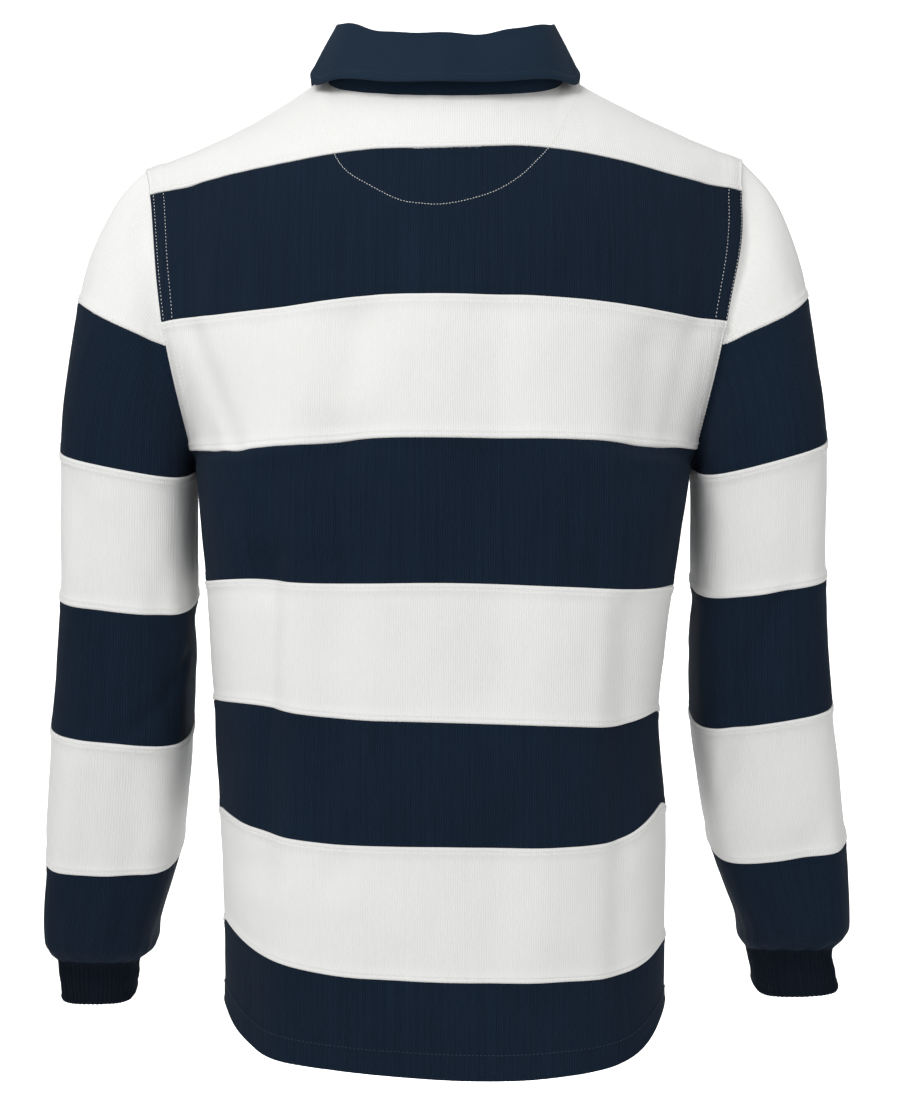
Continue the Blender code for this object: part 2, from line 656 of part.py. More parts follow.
def ring_normal(side, angle, w):
    step = -STEP if w > W_ROWS[3][-1] else STEP
    here = lower_sleeve(side, angle, w)
    down = (lower_sleeve(side, angle, w + step) - here) * step
    across = lower_sleeve(side, angle + STEP, w) - lower_sleeve(side, angle - STEP, w)
    return unit(np.cross(down, across)) * side


def tube(name, finish, side, angles, ws, thick):
    points = np.array([[lower_sleeve(side, a, w) for a in angles] for w in ws])
    normals = np.array([[ring_normal(side, a, w) for a in angles] for w in ws])
    wall(name, finish, drawn_in(points, True), normals, thick, closed=True)


# ---- collar ----

def collar_row(angle, side):
    """The stand's upper edge and the fall's lower edge at an angle."""
    knots = [c.angle for c in COLLAR]
    top = through(knots, [np.array([c.top_x, c.top_y, c.top_z]) for c in COLLAR], angle)
    edge = through(knots, [np.array([c.edge_x, c.edge_y, c.edge_z]) for c in COLLAR], angle)
    mirror = np.array([side, 1, 1])
    return top * mirror, edge * mirror


def collar_angles():
    half = [90 * i / NECK_COLUMNS for i in range(2 * NECK_COLUMNS)] + [COLLAR_END]
    return [(-1, a) for a in reversed(half[1:])] + [(1, a) for a in half]


def outwards(angle, side):
    """The level way out from the collar at an angle."""
    a = math.radians(angle)
    return np.array([side * math.sin(a), math.cos(a), 0.0])


def make_stand():
    points, normals = [], []
    for side, angle in collar_angles():
        low, (top, _) = neck(angle, side), collar_row(angle, side)
        low = low + np.array([0, 0, COLLAR_LIFT])
        points.append([top, (top + low) / 2 + outwards(angle, side) * STAND_BELLY, low])
        normals.append([outwards(angle, side)] * 3)
    wall("collar_stand", "navy_twill", turned(points), turned(normals), TWILL)


def turned(lines):
    return np.array(lines).transpose(1, 0, 2)


def make_fall():
    """The fall rises from the stand's edge, turns over in a small roll and hangs outside."""
    up = np.array([0, 0, 1.0])
    points = []
    for side, angle in collar_angles():
        top, edge = collar_row(angle, side)
        out = unit((edge - top) * np.array([1, 1, 0]))
        line = [top + up * SEAM_GAP]
        line += [top + up * FOLD_RISE * roll.up + out * FOLD_WIDTH * roll.out for roll in ROLL]
        over = line[-1]
        line += [over + (edge - over) * t + out * FALL_BELLY * math.sin(math.pi * t) for t in FALL_ROWS]
        points.append(line)
    points = turned(points)
    wall("collar_fall", "navy_twill", points, grid_normals(points), TWILL)


def grid_normals(points):
    """The normals of a sheet of points, from its neighbours."""
    rows = np.gradient(points, axis=0)
    across = np.gradient(points, axis=1)
    normals = np.cross(across, rows)
    return normals / np.linalg.norm(normals, axis=2, keepdims=True)


# ---- placket and buttons ----

def front_at(x, v):
    """The u of the front's point at x in row v."""
    low, high = 0.0, 1.0
    for _ in range(40):
        u = (low + high) / 2
        if abs(body("front", u, v)[0]) < abs(x):
            low = u
        else:
            high = u
    return math.copysign(low, x)


def strip(name, half, lay, thick):
    """A strip down the front's middle, made from the panel's points moved out, or in where lay is below 0."""
    points, normals = [], []
    for v in PLACKET_VS:
        us = [front_at(x, v) for x in (-half, -half / 2, 0, half / 2, half)]
        n = [body_normal("front", u, v, body) for u in us]
        points.append([body("front", u, v) + m * lay for u, m in zip(us, n)])
        normals.append(n)
    wall(name, "navy_twill", np.array(points), np.array(normals), thick)


def make_button(i, v):
    """A turned disc with a raised rim, flat against the placket."""
    centre = body("front", 0.0, v)
    out = body_normal("front", 0.0, v, body)
    across = unit(np.cross(out, np.array([0, 0, 1.0])))
    up = np.cross(across, out)
    base = centre + out * (LAY + TWILL + SEAM_GAP)
    mesh = bmesh.new()
    rings = []
    for turn in BUTTON_PROFILE:
        angles = [2 * math.pi * k / BUTTON_SIDES for k in range(BUTTON_SIDES)]
        spots = [across * math.cos(a) + up * math.sin(a) for a in angles]
        rings.append([mesh.verts.new(base + spot * turn.radius + out * turn.height) for spot in spots])
    for a, b in zip(rings, rings[1:]):
        for k in range(BUTTON_SIDES):
            m = (k + 1) % BUTTON_SIDES
            mesh.faces.new([a[k], b[k], b[m], a[m]])
    mesh.faces.new(rings[0])
    mesh.faces.new(rings[-1][::-1])
    bmesh.ops.triangulate(mesh, faces=mesh.faces)
    bmesh.ops.recalc_face_normals(mesh, faces=mesh.faces)
    finish_object(f"button_{i}", "white_rubber", mesh)


# ---- the shirt ----

for old in list(bpy.data.objects):
    bpy.data.objects.remove(old, do_unlink=True)

ARM_ROWS, ARM_ANGLES, CAP_SHARE = {}, {}, {}
for side in (1, -1):
    ARM_ROWS[side], ARM_ANGLES[side] = armhole(side)
    for face in ("back", "front"):
        meeting = ARM_ANGLES[side][ARM_ROWS[side].index((face, CAP_V))]
        CAP_SHARE[side, face] = math.sin(meeting / 2 if face == "back" else math.pi - meeting / 2)

make_back()
make_front()
for side in (1, -1):
    make_sleeve(side)
make_stand()
make_fall()
strip("placket_outer", PLACKET_HALF, LAY + TWILL, TWILL)
strip("placket_under", UNDER_HALF, -JERSEY - UNDER_LAY, TWILL)
for number, v in enumerate(BUTTON_VS, 1):
    make_button(number, v)
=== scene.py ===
# %% [markdown]
# # A striped rugby shirt, worn form
#
# The shirt is heavy cotton jersey: wide navy and white stripes that are knitted as separate lengths of
# cloth and sewn together, a navy twill collar, a short buttoned placket and ribbed cuffs. It keeps the
# round form of a body, with no body in it. The frame has one plain solid for each piece. Here every
# piece gets its finished cloth.

# %% Start: load the frame and keep its size
import json
import math
from collections import namedtuple

import bmesh
import bpy
import numpy as np
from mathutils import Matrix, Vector
from mathutils.bvhtree import BVHTree

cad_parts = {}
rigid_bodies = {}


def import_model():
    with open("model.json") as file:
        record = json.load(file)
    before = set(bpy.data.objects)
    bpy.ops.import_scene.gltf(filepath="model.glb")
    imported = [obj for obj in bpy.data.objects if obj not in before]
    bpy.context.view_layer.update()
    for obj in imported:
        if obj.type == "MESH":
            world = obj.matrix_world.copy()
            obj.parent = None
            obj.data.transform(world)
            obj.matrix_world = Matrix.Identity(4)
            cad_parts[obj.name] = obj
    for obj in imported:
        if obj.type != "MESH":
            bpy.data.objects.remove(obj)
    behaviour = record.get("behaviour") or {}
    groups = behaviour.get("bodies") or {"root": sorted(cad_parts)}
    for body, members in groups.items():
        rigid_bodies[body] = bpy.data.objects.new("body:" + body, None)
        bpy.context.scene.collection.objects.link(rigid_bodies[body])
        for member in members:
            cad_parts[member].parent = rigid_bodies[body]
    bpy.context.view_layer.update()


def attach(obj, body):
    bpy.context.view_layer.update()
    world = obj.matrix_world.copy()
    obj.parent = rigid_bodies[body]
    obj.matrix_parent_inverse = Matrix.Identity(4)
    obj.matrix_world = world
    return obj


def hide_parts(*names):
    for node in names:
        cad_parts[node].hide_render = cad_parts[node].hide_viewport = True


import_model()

# %% [markdown]
# ## Helpers for looks
# Cloth colours are chosen as sRGB hex values, the way a dyer's card gives them. Blender's nodes want
# linear light, so one function turns them. Two more add a node with its settings and links in a single
# line.

# %% Helpers for materials
def linear(hex_colour):
    """An sRGB hex value as linear red, green, blue and alpha."""
    parts = [int(hex_colour[i:i + 2], 16) / 255 for i in (1, 3, 5)]
    return (*[c / 12.92 if c <= 0.04045 else ((c + 0.055) / 1.055) ** 2.4 for c in parts], 1.0)


def feed(material, node, inputs):
    """Set a node's inputs, each to a value or to the output socket that feeds it."""
    for key, value in inputs.items():
        if isinstance(value, bpy.types.NodeSocket):
            material.node_tree.links.new(value, node.inputs[key])
        else:
            node.inputs[key].default_value = value


def add_node(material, kind, inputs, **settings):
    node = material.node_tree.nodes.new(kind)
    for key, value in settings.items():
        setattr(node, key, value)
    feed(material, node, inputs)
    return node


print("navy in linear light:", [round(c, 4) for c in linear("#232c3c")])

# %% [markdown]
# ## The view
# The shirt is seen from straight behind, level with its middle, from about 1.6 m away. The lens follows
# from that distance and from how much of the frame the shirt fills. The camera is made early.

# %% Camera
def placed(name, data):
    """A new object in the scene."""
    made = bpy.data.objects.new(name, data)
    bpy.context.scene.collection.objects.link(made)
    return made


camera_data = bpy.data.cameras.new("camera")
camera_data.lens = 65.64
camera_data.sensor_width = 36.0
camera = placed("camera", camera_data)
camera.location = (-0.0036, 1.6, -0.378)
camera.rotation_euler = (math.radians(90), 0, math.radians(180))
bpy.context.scene.camera = camera
bpy.context.scene.view_settings.view_transform = "Standard"
print("camera at", tuple(round(c, 3) for c in camera.location))

# %% [markdown]
# ## The body as one sheet
# A garment is easiest to describe the way it is cut. Each face of the body is a sheet over two numbers:
# u runs across, from -1 at the right edge to 1 at the left, and v runs down, with a whole number at
# each stripe's seam. The table says where each seam lies at the centre line and at the edge, and smooth
# curves join the rows. The numbers are the same as the plain solid's, so the cloth lies where its solid
# does. Long tables are in millimetres, as a tailor would write them, and one function turns their rows
# to metres.

# %% Sizes of the body
def mm(*sizes):
    """Sizes in millimetres as metres."""
    return [size / 1000 for size in sizes]


JERSEY = 0.0016
SEAM_GAP = 0.0003
NECK_HALF_WIDTH = 0.094
NECK_BACK_DEPTH = 0.058
NECK_FRONT_DEPTH = 0.064
NECK_BACK_DROP = 0.029
NECK_FRONT_DROP = 0.085
NECK_BACK_POWER = 0.7
NECK_U = 0.36
UNDERARM_V = 3.15
Shoulder = namedtuple("Shoulder", "tip_x slope ease")
SHOULDERS = {1: Shoulder(0.239, 0.740, 1.50), -1: Shoulder(0.237, 0.575, 0.68)}
Station = namedtuple(
    "Station",
    "v back_y back_z front_y front_z left_x left_z right_x right_z "
    "arm_back arm_front front_in front_low spread full sweep",
)
STATIONS = [
    Station(v, *mm(*sizes), *arc) for v, *sizes, arc in (
        (1, 85, -74, -78, -100, 233, -99, 233, -96, 20, -22, 4, 10, (40, 0.00, 1.6)),
        (2, 122, -189, -118, -196, 219, -203, 217, -202, 55, -48, 12, 2, (52, 0.00, 1.6)),
        (3, 130, -296, -130, -298, 199, -301, 196, -300, 30, -26, 2, 0, (74, 0.05, 2.2)),
        (3.15, 130, -312, -131, -313, 196, -316, 193, -318, 0, 0, 0, 0, (90, 0.08, 2.4)),
        (4, 128, -403, -129, -398, 189, -403, 180, -407, 0, 0, 0, 0, (90, 0.07, 2.6)),
        (5, 128, -506, -126, -500, 183.5, -499, 170, -508, 0, 0, 0, 0, (90, 0.055, 2.6)),
        (6, 130, -597, -126, -590, 179, -583, 175, -582, 0, 0, 0, 0, (90, 0.055, 2.6)),
        (7, 134, -696, -128, -684, 174.5, -675, 174, -688, 0, 0, 0, 0, (90, 0.055, 2.6)),
        (8, 136, -767, -129, -750, 175, -738, 174, -738, 0, 0, 0, 0, (90, 0.055, 2.6)),
    )
]
V_KNOTS = [0] + [s.v for s in STATIONS]
print("body rows:", len(V_KNOTS))

# %% How each seam of the back wanders, in thousandths of a stripe, a column for each u
WANDER_U = (-1, -0.875, -0.75, -0.5, -0.25, 0, 0.25, 0.5, 0.75, 0.875, 1)
WANDERS = np.array([
    (0, 0, 0, 0, 0, 0, 0, 0, 0, 0, 0),
    (0, 20, 21, -37, -54, 0, -21, 10, 30, 32, 0),
    (0, 15, 17, -3, -7, 0, -3, 32, 25, 5, 0),
    (0, 18, 22, 14, 4, 0, 6, 48, 46, 25, 0),
    (0, 4, 7, 44, 26, 0, 6, -20, -6, -5, 0),
    (0, -18, -37, 49, 30, 0, -26, -95, -87, -50, 0),
    (0, -97, -179, -7, 16, 0, -6, -65, -139, -82, 0),
    (0, -98, -117, 14, 15, 0, -37, -137, -250, -140, 0),
    (0, -299, -285, -61, 13, 0, -72, -115, -309, -245, 0),
]) / 1000


# %% Curves that join the rows
def hermite(p0, p1, m0, m1, t):
    """Points at t on the cubic from p0 to p1 with end slopes m0 and m1."""
    t2, t3 = t * t, t * t * t
    return (2 * t3 - 3 * t2 + 1) * p0 + (t3 - 2 * t2 + t) * m0 + (3 * t2 - 2 * t3) * p1 + (t3 - t2) * m1


def smooth(t):
    t = np.clip(t, 0.0, 1.0)
    return t * t * (3 - 2 * t)


def bell(x, width):
    """1 where x is 0, and nearly 0 where it is twice the width."""
    return np.exp(-((x / width) ** 2))


def rounded(distance, width):
    """From 0 at an edge to 1 at the width, in a quarter of a round."""
    return np.sqrt(np.clip(distance / width, 0, 1))


def unit(v):
    return v / np.maximum(np.linalg.norm(v, axis=-1, keepdims=True), 1e-30)


def stack(x, y, z):
    return np.stack(np.broadcast_arrays(x, y, z), axis=-1)


def on_line(at, run, points):
    """Points at places along a line. run holds the places of the line's own points."""
    return np.stack([np.interp(at, run, points[:, k]) for k in range(3)], axis=-1)


def through(knots, points, x):
    """Points at x on a smooth curve through points at the knots."""
    knots = np.asarray(knots, float)
    low = np.maximum(np.arange(len(knots)) - 1, 0)
    high = np.minimum(np.arange(len(knots)) + 1, len(knots) - 1)
    shape = (-1,) + (1,) * (points.ndim - 1)
    slopes = (points[high] - points[low]) / (knots[high] - knots[low]).reshape(shape)
    i = np.clip(np.searchsorted(knots, x, side="right") - 1, 0, len(knots) - 2)
    width = (knots[i + 1] - knots[i]).reshape(shape)
    t = (x - knots[i]).reshape(shape) / width
    return hermite(points[i], points[i + 1], slopes[i] * width, slopes[i + 1] * width, t)


print("half-way between 0, 1 and 4:", through([0, 1, 2], np.array([0.0, 1.0, 4.0]), np.array([0.5, 1.5])))


# %% The top row: neck and shoulders
def neck_line(a, side):
    """The neck seam at angles in radians, 0 at the back and pi at the front."""
    c = np.cos(a)
    rise = -NECK_BACK_DROP * np.maximum(c, 0.0) ** NECK_BACK_POWER
    y = np.where(c > 0, NECK_BACK_DEPTH * c, NECK_FRONT_DEPTH * c)
    return stack(side * NECK_HALF_WIDTH * np.sin(a), y, np.where(c > 0, rise, NECK_FRONT_DROP * c))


def top_row(face, side, u):
    """The neck seam up to NECK_U, then the shoulder seam."""
    turn = np.pi / 2 * np.minimum(u / NECK_U, 1)
    neck_part = neck_line(turn if face == "back" else np.pi - turn, side)
    s = SHOULDERS[side]
    run = (u - NECK_U) / (1 - NECK_U) * (s.tip_x - NECK_HALF_WIDTH)
    seam_part = stack(side * (NECK_HALF_WIDTH + run), 0.0, -s.slope * run + s.ease * run * run)
    return np.where((u >= NECK_U)[:, None], seam_part, neck_part)


print("front of the neck, m:", top_row("front", 1, np.array([0.0])).round(3).tolist())


# %% The rows below, and how the body runs through them
def seam_row(s, face, side, u):
    """A seam's row: an oval arc from the centre line to the armhole or side seam."""
    x, z = (s.left_x, s.left_z) if side > 0 else (s.right_x, s.right_z)
    y, mid_y, mid_z = s.arm_back, s.back_y, s.back_z
    if face == "front":
        x, z = x - s.front_in, z - s.front_low
        y, mid_y, mid_z = s.arm_front, s.front_y, s.front_z
    end = math.radians(s.spread)
    a = end * u
    across = (np.sin(a) + s.full * np.sin(3 * a)) / (math.sin(end) + s.full * math.sin(3 * end))
    last = 1 - s.full - math.cos(end) + s.full * math.cos(3 * end)
    turned = (1 - s.full - np.cos(a) + s.full * np.cos(3 * a)) / last
    return stack(side * x * across, mid_y + (y - mid_y) * turned, mid_z + (z - mid_z) * u**s.sweep)


def row(i, face, side, u):
    return top_row(face, side, u) if i == 0 else seam_row(STATIONS[i - 1], face, side, u)


def row_slope(i, face, side, u, below):
    """How the body runs down through row i. At the underarm the slope above isn't the one below."""
    here = row(i, face, side, u)
    if i == 0:
        chord = row(1, face, side, u) - here
        way = np.array([0.0, 1.0 if face == "back" else -1.0, -0.15])
        level = way * np.linalg.norm(chord, axis=1)[:, None]
        round_over = (0.25 + 0.65 * smooth((u - NECK_U / 2) / (1 - NECK_U)))[:, None]
        return chord * (1 - round_over) + level * round_over
    up = (here - row(i - 1, face, side, u)) / (V_KNOTS[i] - V_KNOTS[i - 1])
    if i == len(V_KNOTS) - 1:
        return up
    down = (row(i + 1, face, side, u) - here) / (V_KNOTS[i + 1] - V_KNOTS[i])
    share = (V_KNOTS[i] - V_KNOTS[i - 1]) / (V_KNOTS[i + 1] - V_KNOTS[i - 1])
    middle = up * share + down * (1 - share)
    if V_KNOTS[i] != UNDERARM_V:
        return middle
    turn = (u**6)[:, None]
    return middle * (1 - turn) + (down if below else up) * turn


print("left tip of the shoulder:", row(0, "back", 1, np.array([1.0])).round(3).tolist())


# %% The whole sheet, back or front
def wander(face, u, v):
    """How far each point of the cloth lies below its even place, in stripes."""
    if face == "front":
        return np.zeros((len(v), len(u)))
    lines = np.array([through(WANDER_U, row, u) for row in WANDERS])
    i = np.clip(np.floor(v).astype(int), 0, 7)
    t = (v - i)[:, None]
    return lines[i] * (1 - t) + lines[i + 1] * t


def half_panel(face, side, u, v):
    """Body points for the columns u, from 0 to 1, with v for each row and column."""
    out = np.zeros((*v.shape, 3))
    for i in range(len(V_KNOTS) - 1):
        inside = (v >= V_KNOTS[i]) & ((v < V_KNOTS[i + 1]) | (i == len(V_KNOTS) - 2))
        if not inside.any():
            continue
        width = V_KNOTS[i + 1] - V_KNOTS[i]
        t = ((v - V_KNOTS[i]) / width)[..., None]
        start = row_slope(i, face, side, u, True) * width
        end = row_slope(i + 1, face, side, u, False) * width
        points = hermite(row(i, face, side, u), row(i + 1, face, side, u), start, end, t)
        out[inside] = points[inside]
    return out


def panel(face, u, v):
    """Body points over all of u, from -1 to 1, with the seams where they wander."""
    u = np.clip(u, -1, 1)
    v = np.clip(v, 0, 8)
    v = v[:, None] + wander(face, u, v)
    left, right = u >= 0, u < 0
    out = np.zeros((*v.shape, 3))
    out[:, left] = half_panel(face, 1, u[left], v[:, left])
    out[:, right] = half_panel(face, -1, -u[right], v[:, right])
    return out


STEP = 1e-3


def panel_normal(face, u, v):
    across = panel(face, u + STEP, v) - panel(face, u - STEP, v)
    down = panel(face, u, v + STEP) - panel(face, u, v - STEP)
    n = unit(np.cross(across, down))
    return n if face == "back" else -n


test = panel("back", np.array([0.0, 1.0]), np.array([0.0, 8.0]))
print("back's corners:", test.round(3).tolist())

# %% [markdown]
# ## Soft folds
# Worn jersey hangs in a few long, soft troughs between round ridges. Each row of the table is one such
# fold: the line that it follows, how wide it is and how deep. A minus depth makes a ridge. A fold's
# sides are a smooth bell, so neighbours run into each other softly, as cloth does, and no two are the
# same.

# %% Folds of the back and the front
Fold = namedtuple("Fold", "x_top z_top x_low z_low width depth")
FOLD_FADE = 0.035
FOLD_ROWS = {
    "back": [
        (70, -215, 88, -300, 24, 5.5), (132, -325, 137, -395, 24, 6), (76, -300, 80, -380, 28, 5),
        (137, -400, 142, -610, 22, 7.5), (76, -400, 86, -610, 24, 5), (-30, -210, -28, -480, 30, 3.5),
        (-160, -230, -150, -320, 24, 6), (-138, -440, -140, -720, 24, 4.5),
        (129, -395, 132, -500, 5, 1.6),
        (118, -400, 116, -500, 10, -1.6), (63, -215, 78, -300, 12, 2.6), (-41, -205, -44, -300, 16, 1.8),
        (-49, -400, -46, -500, 22, 2.6), (48, -600, 46, -690, 18, 2), (-38, -600, -34, -690, 18, 2),
        (54, -410, 60, -500, 16, -2.2), (148, -520, 152, -590, 9, -2.6), (58, -525, 85, -600, 12, -2.4),
        (-75, -600, -68, -690, 20, -2.2), (118, -600, 116, -700, 18, -2.4),
        (-142, -420, -132, -700, 12, 2.8),
        (-118, -430, -112, -560, 10, -1.4), (188, -225, 158, -300, 10, 2.6), (176, -300, 164, -345, 8, 2),
        (-190, -215, -172, -300, 10, 2.6), (200, -110, 196, -200, 9, 1.8),
        (-205, -105, -198, -190, 9, 1.6),
        (-90, -690, -86, -760, 22, 2.2), (30, -690, 26, -760, 24, 1.8), (150, -690, 146, -745, 12, 2.4),
    ],
    "front": [
        (150, -260, 110, -480, 26, 6), (-145, -270, -120, -520, 28, 6.5), (60, -420, 75, -640, 28, 5),
        (-50, -380, -60, -600, 30, 4.5), (30, -300, 40, -420, 14, -2), (-90, -200, -100, -300, 16, 2.2),
        (100, -190, 112, -290, 15, 2.4), (128, -430, 134, -560, 10, -2),
        (-130, -560, -124, -700, 12, 2.6),
        (-5, -560, 4, -680, 20, 2.2), (150, -600, 148, -730, 12, 2.6), (180, -220, 160, -300, 10, 2.4),
        (-180, -220, -160, -300, 10, 2.6), (-80, -680, -86, -745, 20, 2), (100, -330, 158, -395, 11, 3),
        (-95, -345, -150, -415, 12, 3.2), (18, -450, 62, -560, 16, 3.2), (-66, -440, -102, -545, 15, 3),
        (92, -610, 104, -700, 15, 2.8),
    ],
}
FOLDS = {face: [Fold(*mm(*row)) for row in rows] for face, rows in FOLD_ROWS.items()}
print("folds:", {face: len(FOLDS[face]) for face in FOLDS})


# %% What folds do to the cloth
def folded(folds, points):
    """How far the folds push the cloth in at each point."""
    push = np.zeros(points.shape[:-1])
    for f in folds:
        above, below = f.z_top - points[..., 2], points[..., 2] - f.z_low
        fade = smooth((above + FOLD_FADE) / FOLD_FADE) * smooth((below + FOLD_FADE) / FOLD_FADE)
        middle = f.x_top + (f.x_low - f.x_top) * above / (f.z_top - f.z_low)
        push += f.depth * fade * bell(points[..., 0] - middle, f.width)
    return push


def uneven(across, down, seed):
    """A slow, low wander of the cloth, from waves that share no common length."""
    wander = np.zeros(np.broadcast(across, down).shape)
    for k in range(5):
        a = seed * 1.7 + k * 2.39
        wave = 0.045 / (1 + 0.55 * k)
        turn = (across * math.cos(a) + down * math.sin(a) * 0.6) / wave
        wander = wander + np.sin(turn * 2 * np.pi + a * 3) / (1 + k)
    return wander * 0.00022


print("cloth between the folds wanders by, mm:", round(1000 * float(uneven(0.1, 0.2, 1.0)), 2))

# %% [markdown]
# ## Seams that stand up
# Each stripe is folded under and sewn down at its edge, so the cloth is three layers thick there. It
# stands up as a rounded lip, dips where the needle goes through and then falls to one layer. The white
# stripes lie on top. The rows of the mesh are packed closer along a seam than in the middle, so the lip
# is smooth with few faces.

# %% Rows across a stripe, and the seam's profile
BAND_HEIGHT = 0.104
EDGE_ROWS = np.array([0, 0.35, 0.8, 1.4, 2.2, 3.2, 4.0, 4.8, 6.0, 8.0]) / 1000
NEEDLE = 0.0040
FURROW_WIDE = 0.0008
MIDDLE_ROWS = 22


def band_rows():
    """Rows from 0 to 1 across a stripe, close together along both seams."""
    edge = EDGE_ROWS / BAND_HEIGHT
    return np.concatenate([edge, np.linspace(edge[-1], 1 - edge[-1], MIDDLE_ROWS)[1:-1], 1 - edge[::-1]])


def lip(distance, white):
    """The height of the cloth above one layer, at a distance from a sewn edge."""
    layers = 0.0012 if white else 0.0004
    flat = 1 - smooth((distance - 0.0048) / 0.0030)
    dip = bell(distance - NEEDLE, FURROW_WIDE)
    return layers * (rounded(distance, 0.0014) * flat - 0.5 * dip) - 0.0003 * (distance < 1e-6)


BAND_T = band_rows()
print("rows in a stripe:", len(BAND_T))

# %% [markdown]
# ## A cloth wall from a grid
# Every cloth piece is made in the same way: a grid of points for its outer side, the same points moved
# in by the cloth's thickness for its inner side, and a rim that joins the two. The UV map holds metres
# across and down the cloth, so knit and twill keep their true size and follow the cloth where it bends.

# %% Measuring a grid
def grid_normals(points, closed=False):
    if closed:
        across = np.roll(points, -1, axis=1) - np.roll(points, 1, axis=1)
    else:
        across = np.gradient(points, axis=1)
    return unit(np.cross(across, np.gradient(points, axis=0)))


def lengths(points, axis):
    """Distances run along a grid from its first row or column."""
    steps = np.linalg.norm(np.diff(points, axis=axis), axis=2)
    start = np.zeros_like(np.take(steps, [0], axis=axis))
    return np.concatenate([start, np.cumsum(steps, axis=axis)], axis=axis)


middle_line = panel("back", np.array([0.0]), np.linspace(0, 8, 81))
print("back, neck to hem, m:", round(float(lengths(middle_line, 0)[-1, 0]), 3))


# %% The wall maker
def wall(name, points, normals, thick, flat, material, closed=False, skip=None):
    """A closed cloth wall from its outer side. flat is each point's place on the cloth, in metres."""
    m, n = points.shape[:2]
    if closed:
        points, normals = (np.concatenate([g, g[:, :1]], axis=1) for g in (points, normals))
        flat = np.concatenate([flat, 2 * flat[:, -1:] - flat[:, -2:-1]], axis=1)
    n = points.shape[1]
    outer = points.reshape(-1, 3)
    inner = (points - normals * thick).reshape(-1, 3)
    cell = np.ones((m - 1, n - 1), bool)
    if skip is not None:
        cell &= ~skip
    i, j = np.nonzero(cell)
    quad = np.stack([i * n + j, (i + 1) * n + j, (i + 1) * n + j + 1, i * n + j + 1], axis=1)
    faces_way = np.cross(np.diff(points, axis=0)[:, :-1], np.diff(points, axis=1)[:-1])
    if (faces_way * normals[:-1, :-1]).sum() < 0:
        quad = quad[:, ::-1]
    sides = np.stack([quad, np.roll(quad, -1, axis=1)], axis=2).reshape(-1, 2)
    key = np.sort(sides, axis=1) @ np.array([m * n, 1])
    _, first, count = np.unique(key, return_index=True, return_counts=True)
    rim = sides[first[count == 1]]
    if closed:
        at = rim % n
        rim = rim[~((at[:, 0] == at[:, 1]) & ((at[:, 0] == 0) | (at[:, 0] == n - 1)))]
    rim = np.stack([rim[:, 1], rim[:, 0], rim[:, 0] + m * n, rim[:, 1] + m * n], axis=1)
    faces = np.concatenate([quad, quad[:, ::-1] + m * n, rim])
    mesh = bpy.data.meshes.new(name)
    mesh.from_pydata(np.concatenate([outer, inner]).tolist(), [], faces.tolist())
    uv = np.tile(np.asarray(flat).reshape(-1, 2), (2, 1))[faces.reshape(-1)]
    mesh.uv_layers.new(name="cloth").data.foreach_set("uv", uv.reshape(-1).astype(np.float32))
    work = bmesh.new()
    work.from_mesh(mesh)
    bmesh.ops.remove_doubles(work, verts=work.verts, dist=2e-6)
    work.to_mesh(mesh)
    work.free()
    mesh.shade_smooth()
    mesh.set_sharp_from_angle(angle=math.radians(55))
    mesh.materials.append(material)
    placed(name, mesh)


print("wall maker ready")

# %% [markdown]
# ## Materials
# Four cloths and one rubber. They are plain here and get their thread, knit and wear near the end of
# the file.

# %% Names of the finishes
def shade(material, inputs):
    """Set inputs of the material's main shader."""
    feed(material, material.node_tree.nodes["Principled BSDF"], inputs)


def plain(name, colour):
    """A material with a colour and no pattern yet. The pattern's nodes are added where it is described."""
    material = bpy.data.materials.new(name)
    material.use_nodes = True
    shade(material, {"Base Color": linear(colour), "Roughness": 0.9})
    return material


WHITE = plain("white cotton jersey", "#ecebe8")
NAVY = plain("navy cotton jersey", "#1f2838")
TWILL = plain("navy cotton twill", "#22303f")
RIB = plain("navy cotton rib", "#171d2a")
RUBBER = plain("white moulded rubber", "#e6e5e1")
WHITE_THREAD = plain("white polyester thread", "#f4f3f0")
NAVY_THREAD = plain("navy polyester thread", "#2a3446")

# %% [markdown]
# ## Cut the body into stripes
# The whole back is worked out as one grid, folds and seams included, and then cut into its eight
# stripes. In this way a fold runs on through a seam with no step, just as it does on the shirt. Columns
# lie closer at the armhole, where the sleeve is sewn on with two needles: its two lines of stitches
# press two small furrows into the body.

# %% Columns of the body
ARM_NEEDLES = (0.0036, 0.0138)
U_PER_METRE = 4.3
NECK_COLUMNS = 26
ARM_COLUMNS = np.array([0, 0.8, 1.9, 2.9, 3.6, 4.3, 6.0, 9.5, 12.7, 13.8, 14.9, 17.0]) / 1000


def half_columns(first=0.0):
    edge = 1 - ARM_COLUMNS[::-1] * U_PER_METRE
    inner = np.linspace(NECK_U, edge[0], 40)[:-1]
    us = np.concatenate([np.linspace(0, NECK_U, NECK_COLUMNS + 1)[:-1], inner, edge])
    us[0] = first
    return us


HALF = half_columns()
WHOLE = np.concatenate([-HALF[::-1][:-1], HALF])
SLIT_U = 0.004
print("columns across the back:", len(WHOLE))


# %% What seams do to the body's surface
ARM_LAYERS = 0.0007
ARM_FURROW = 0.0004
YOKE_DEPTH = 0.080
FACING_HIGH = 0.0005
HEM_HIGH = 0.0005
HEM_STRIPE = 0.075
HEM_TURN = 0.021
HEM_NEEDLE = 0.020


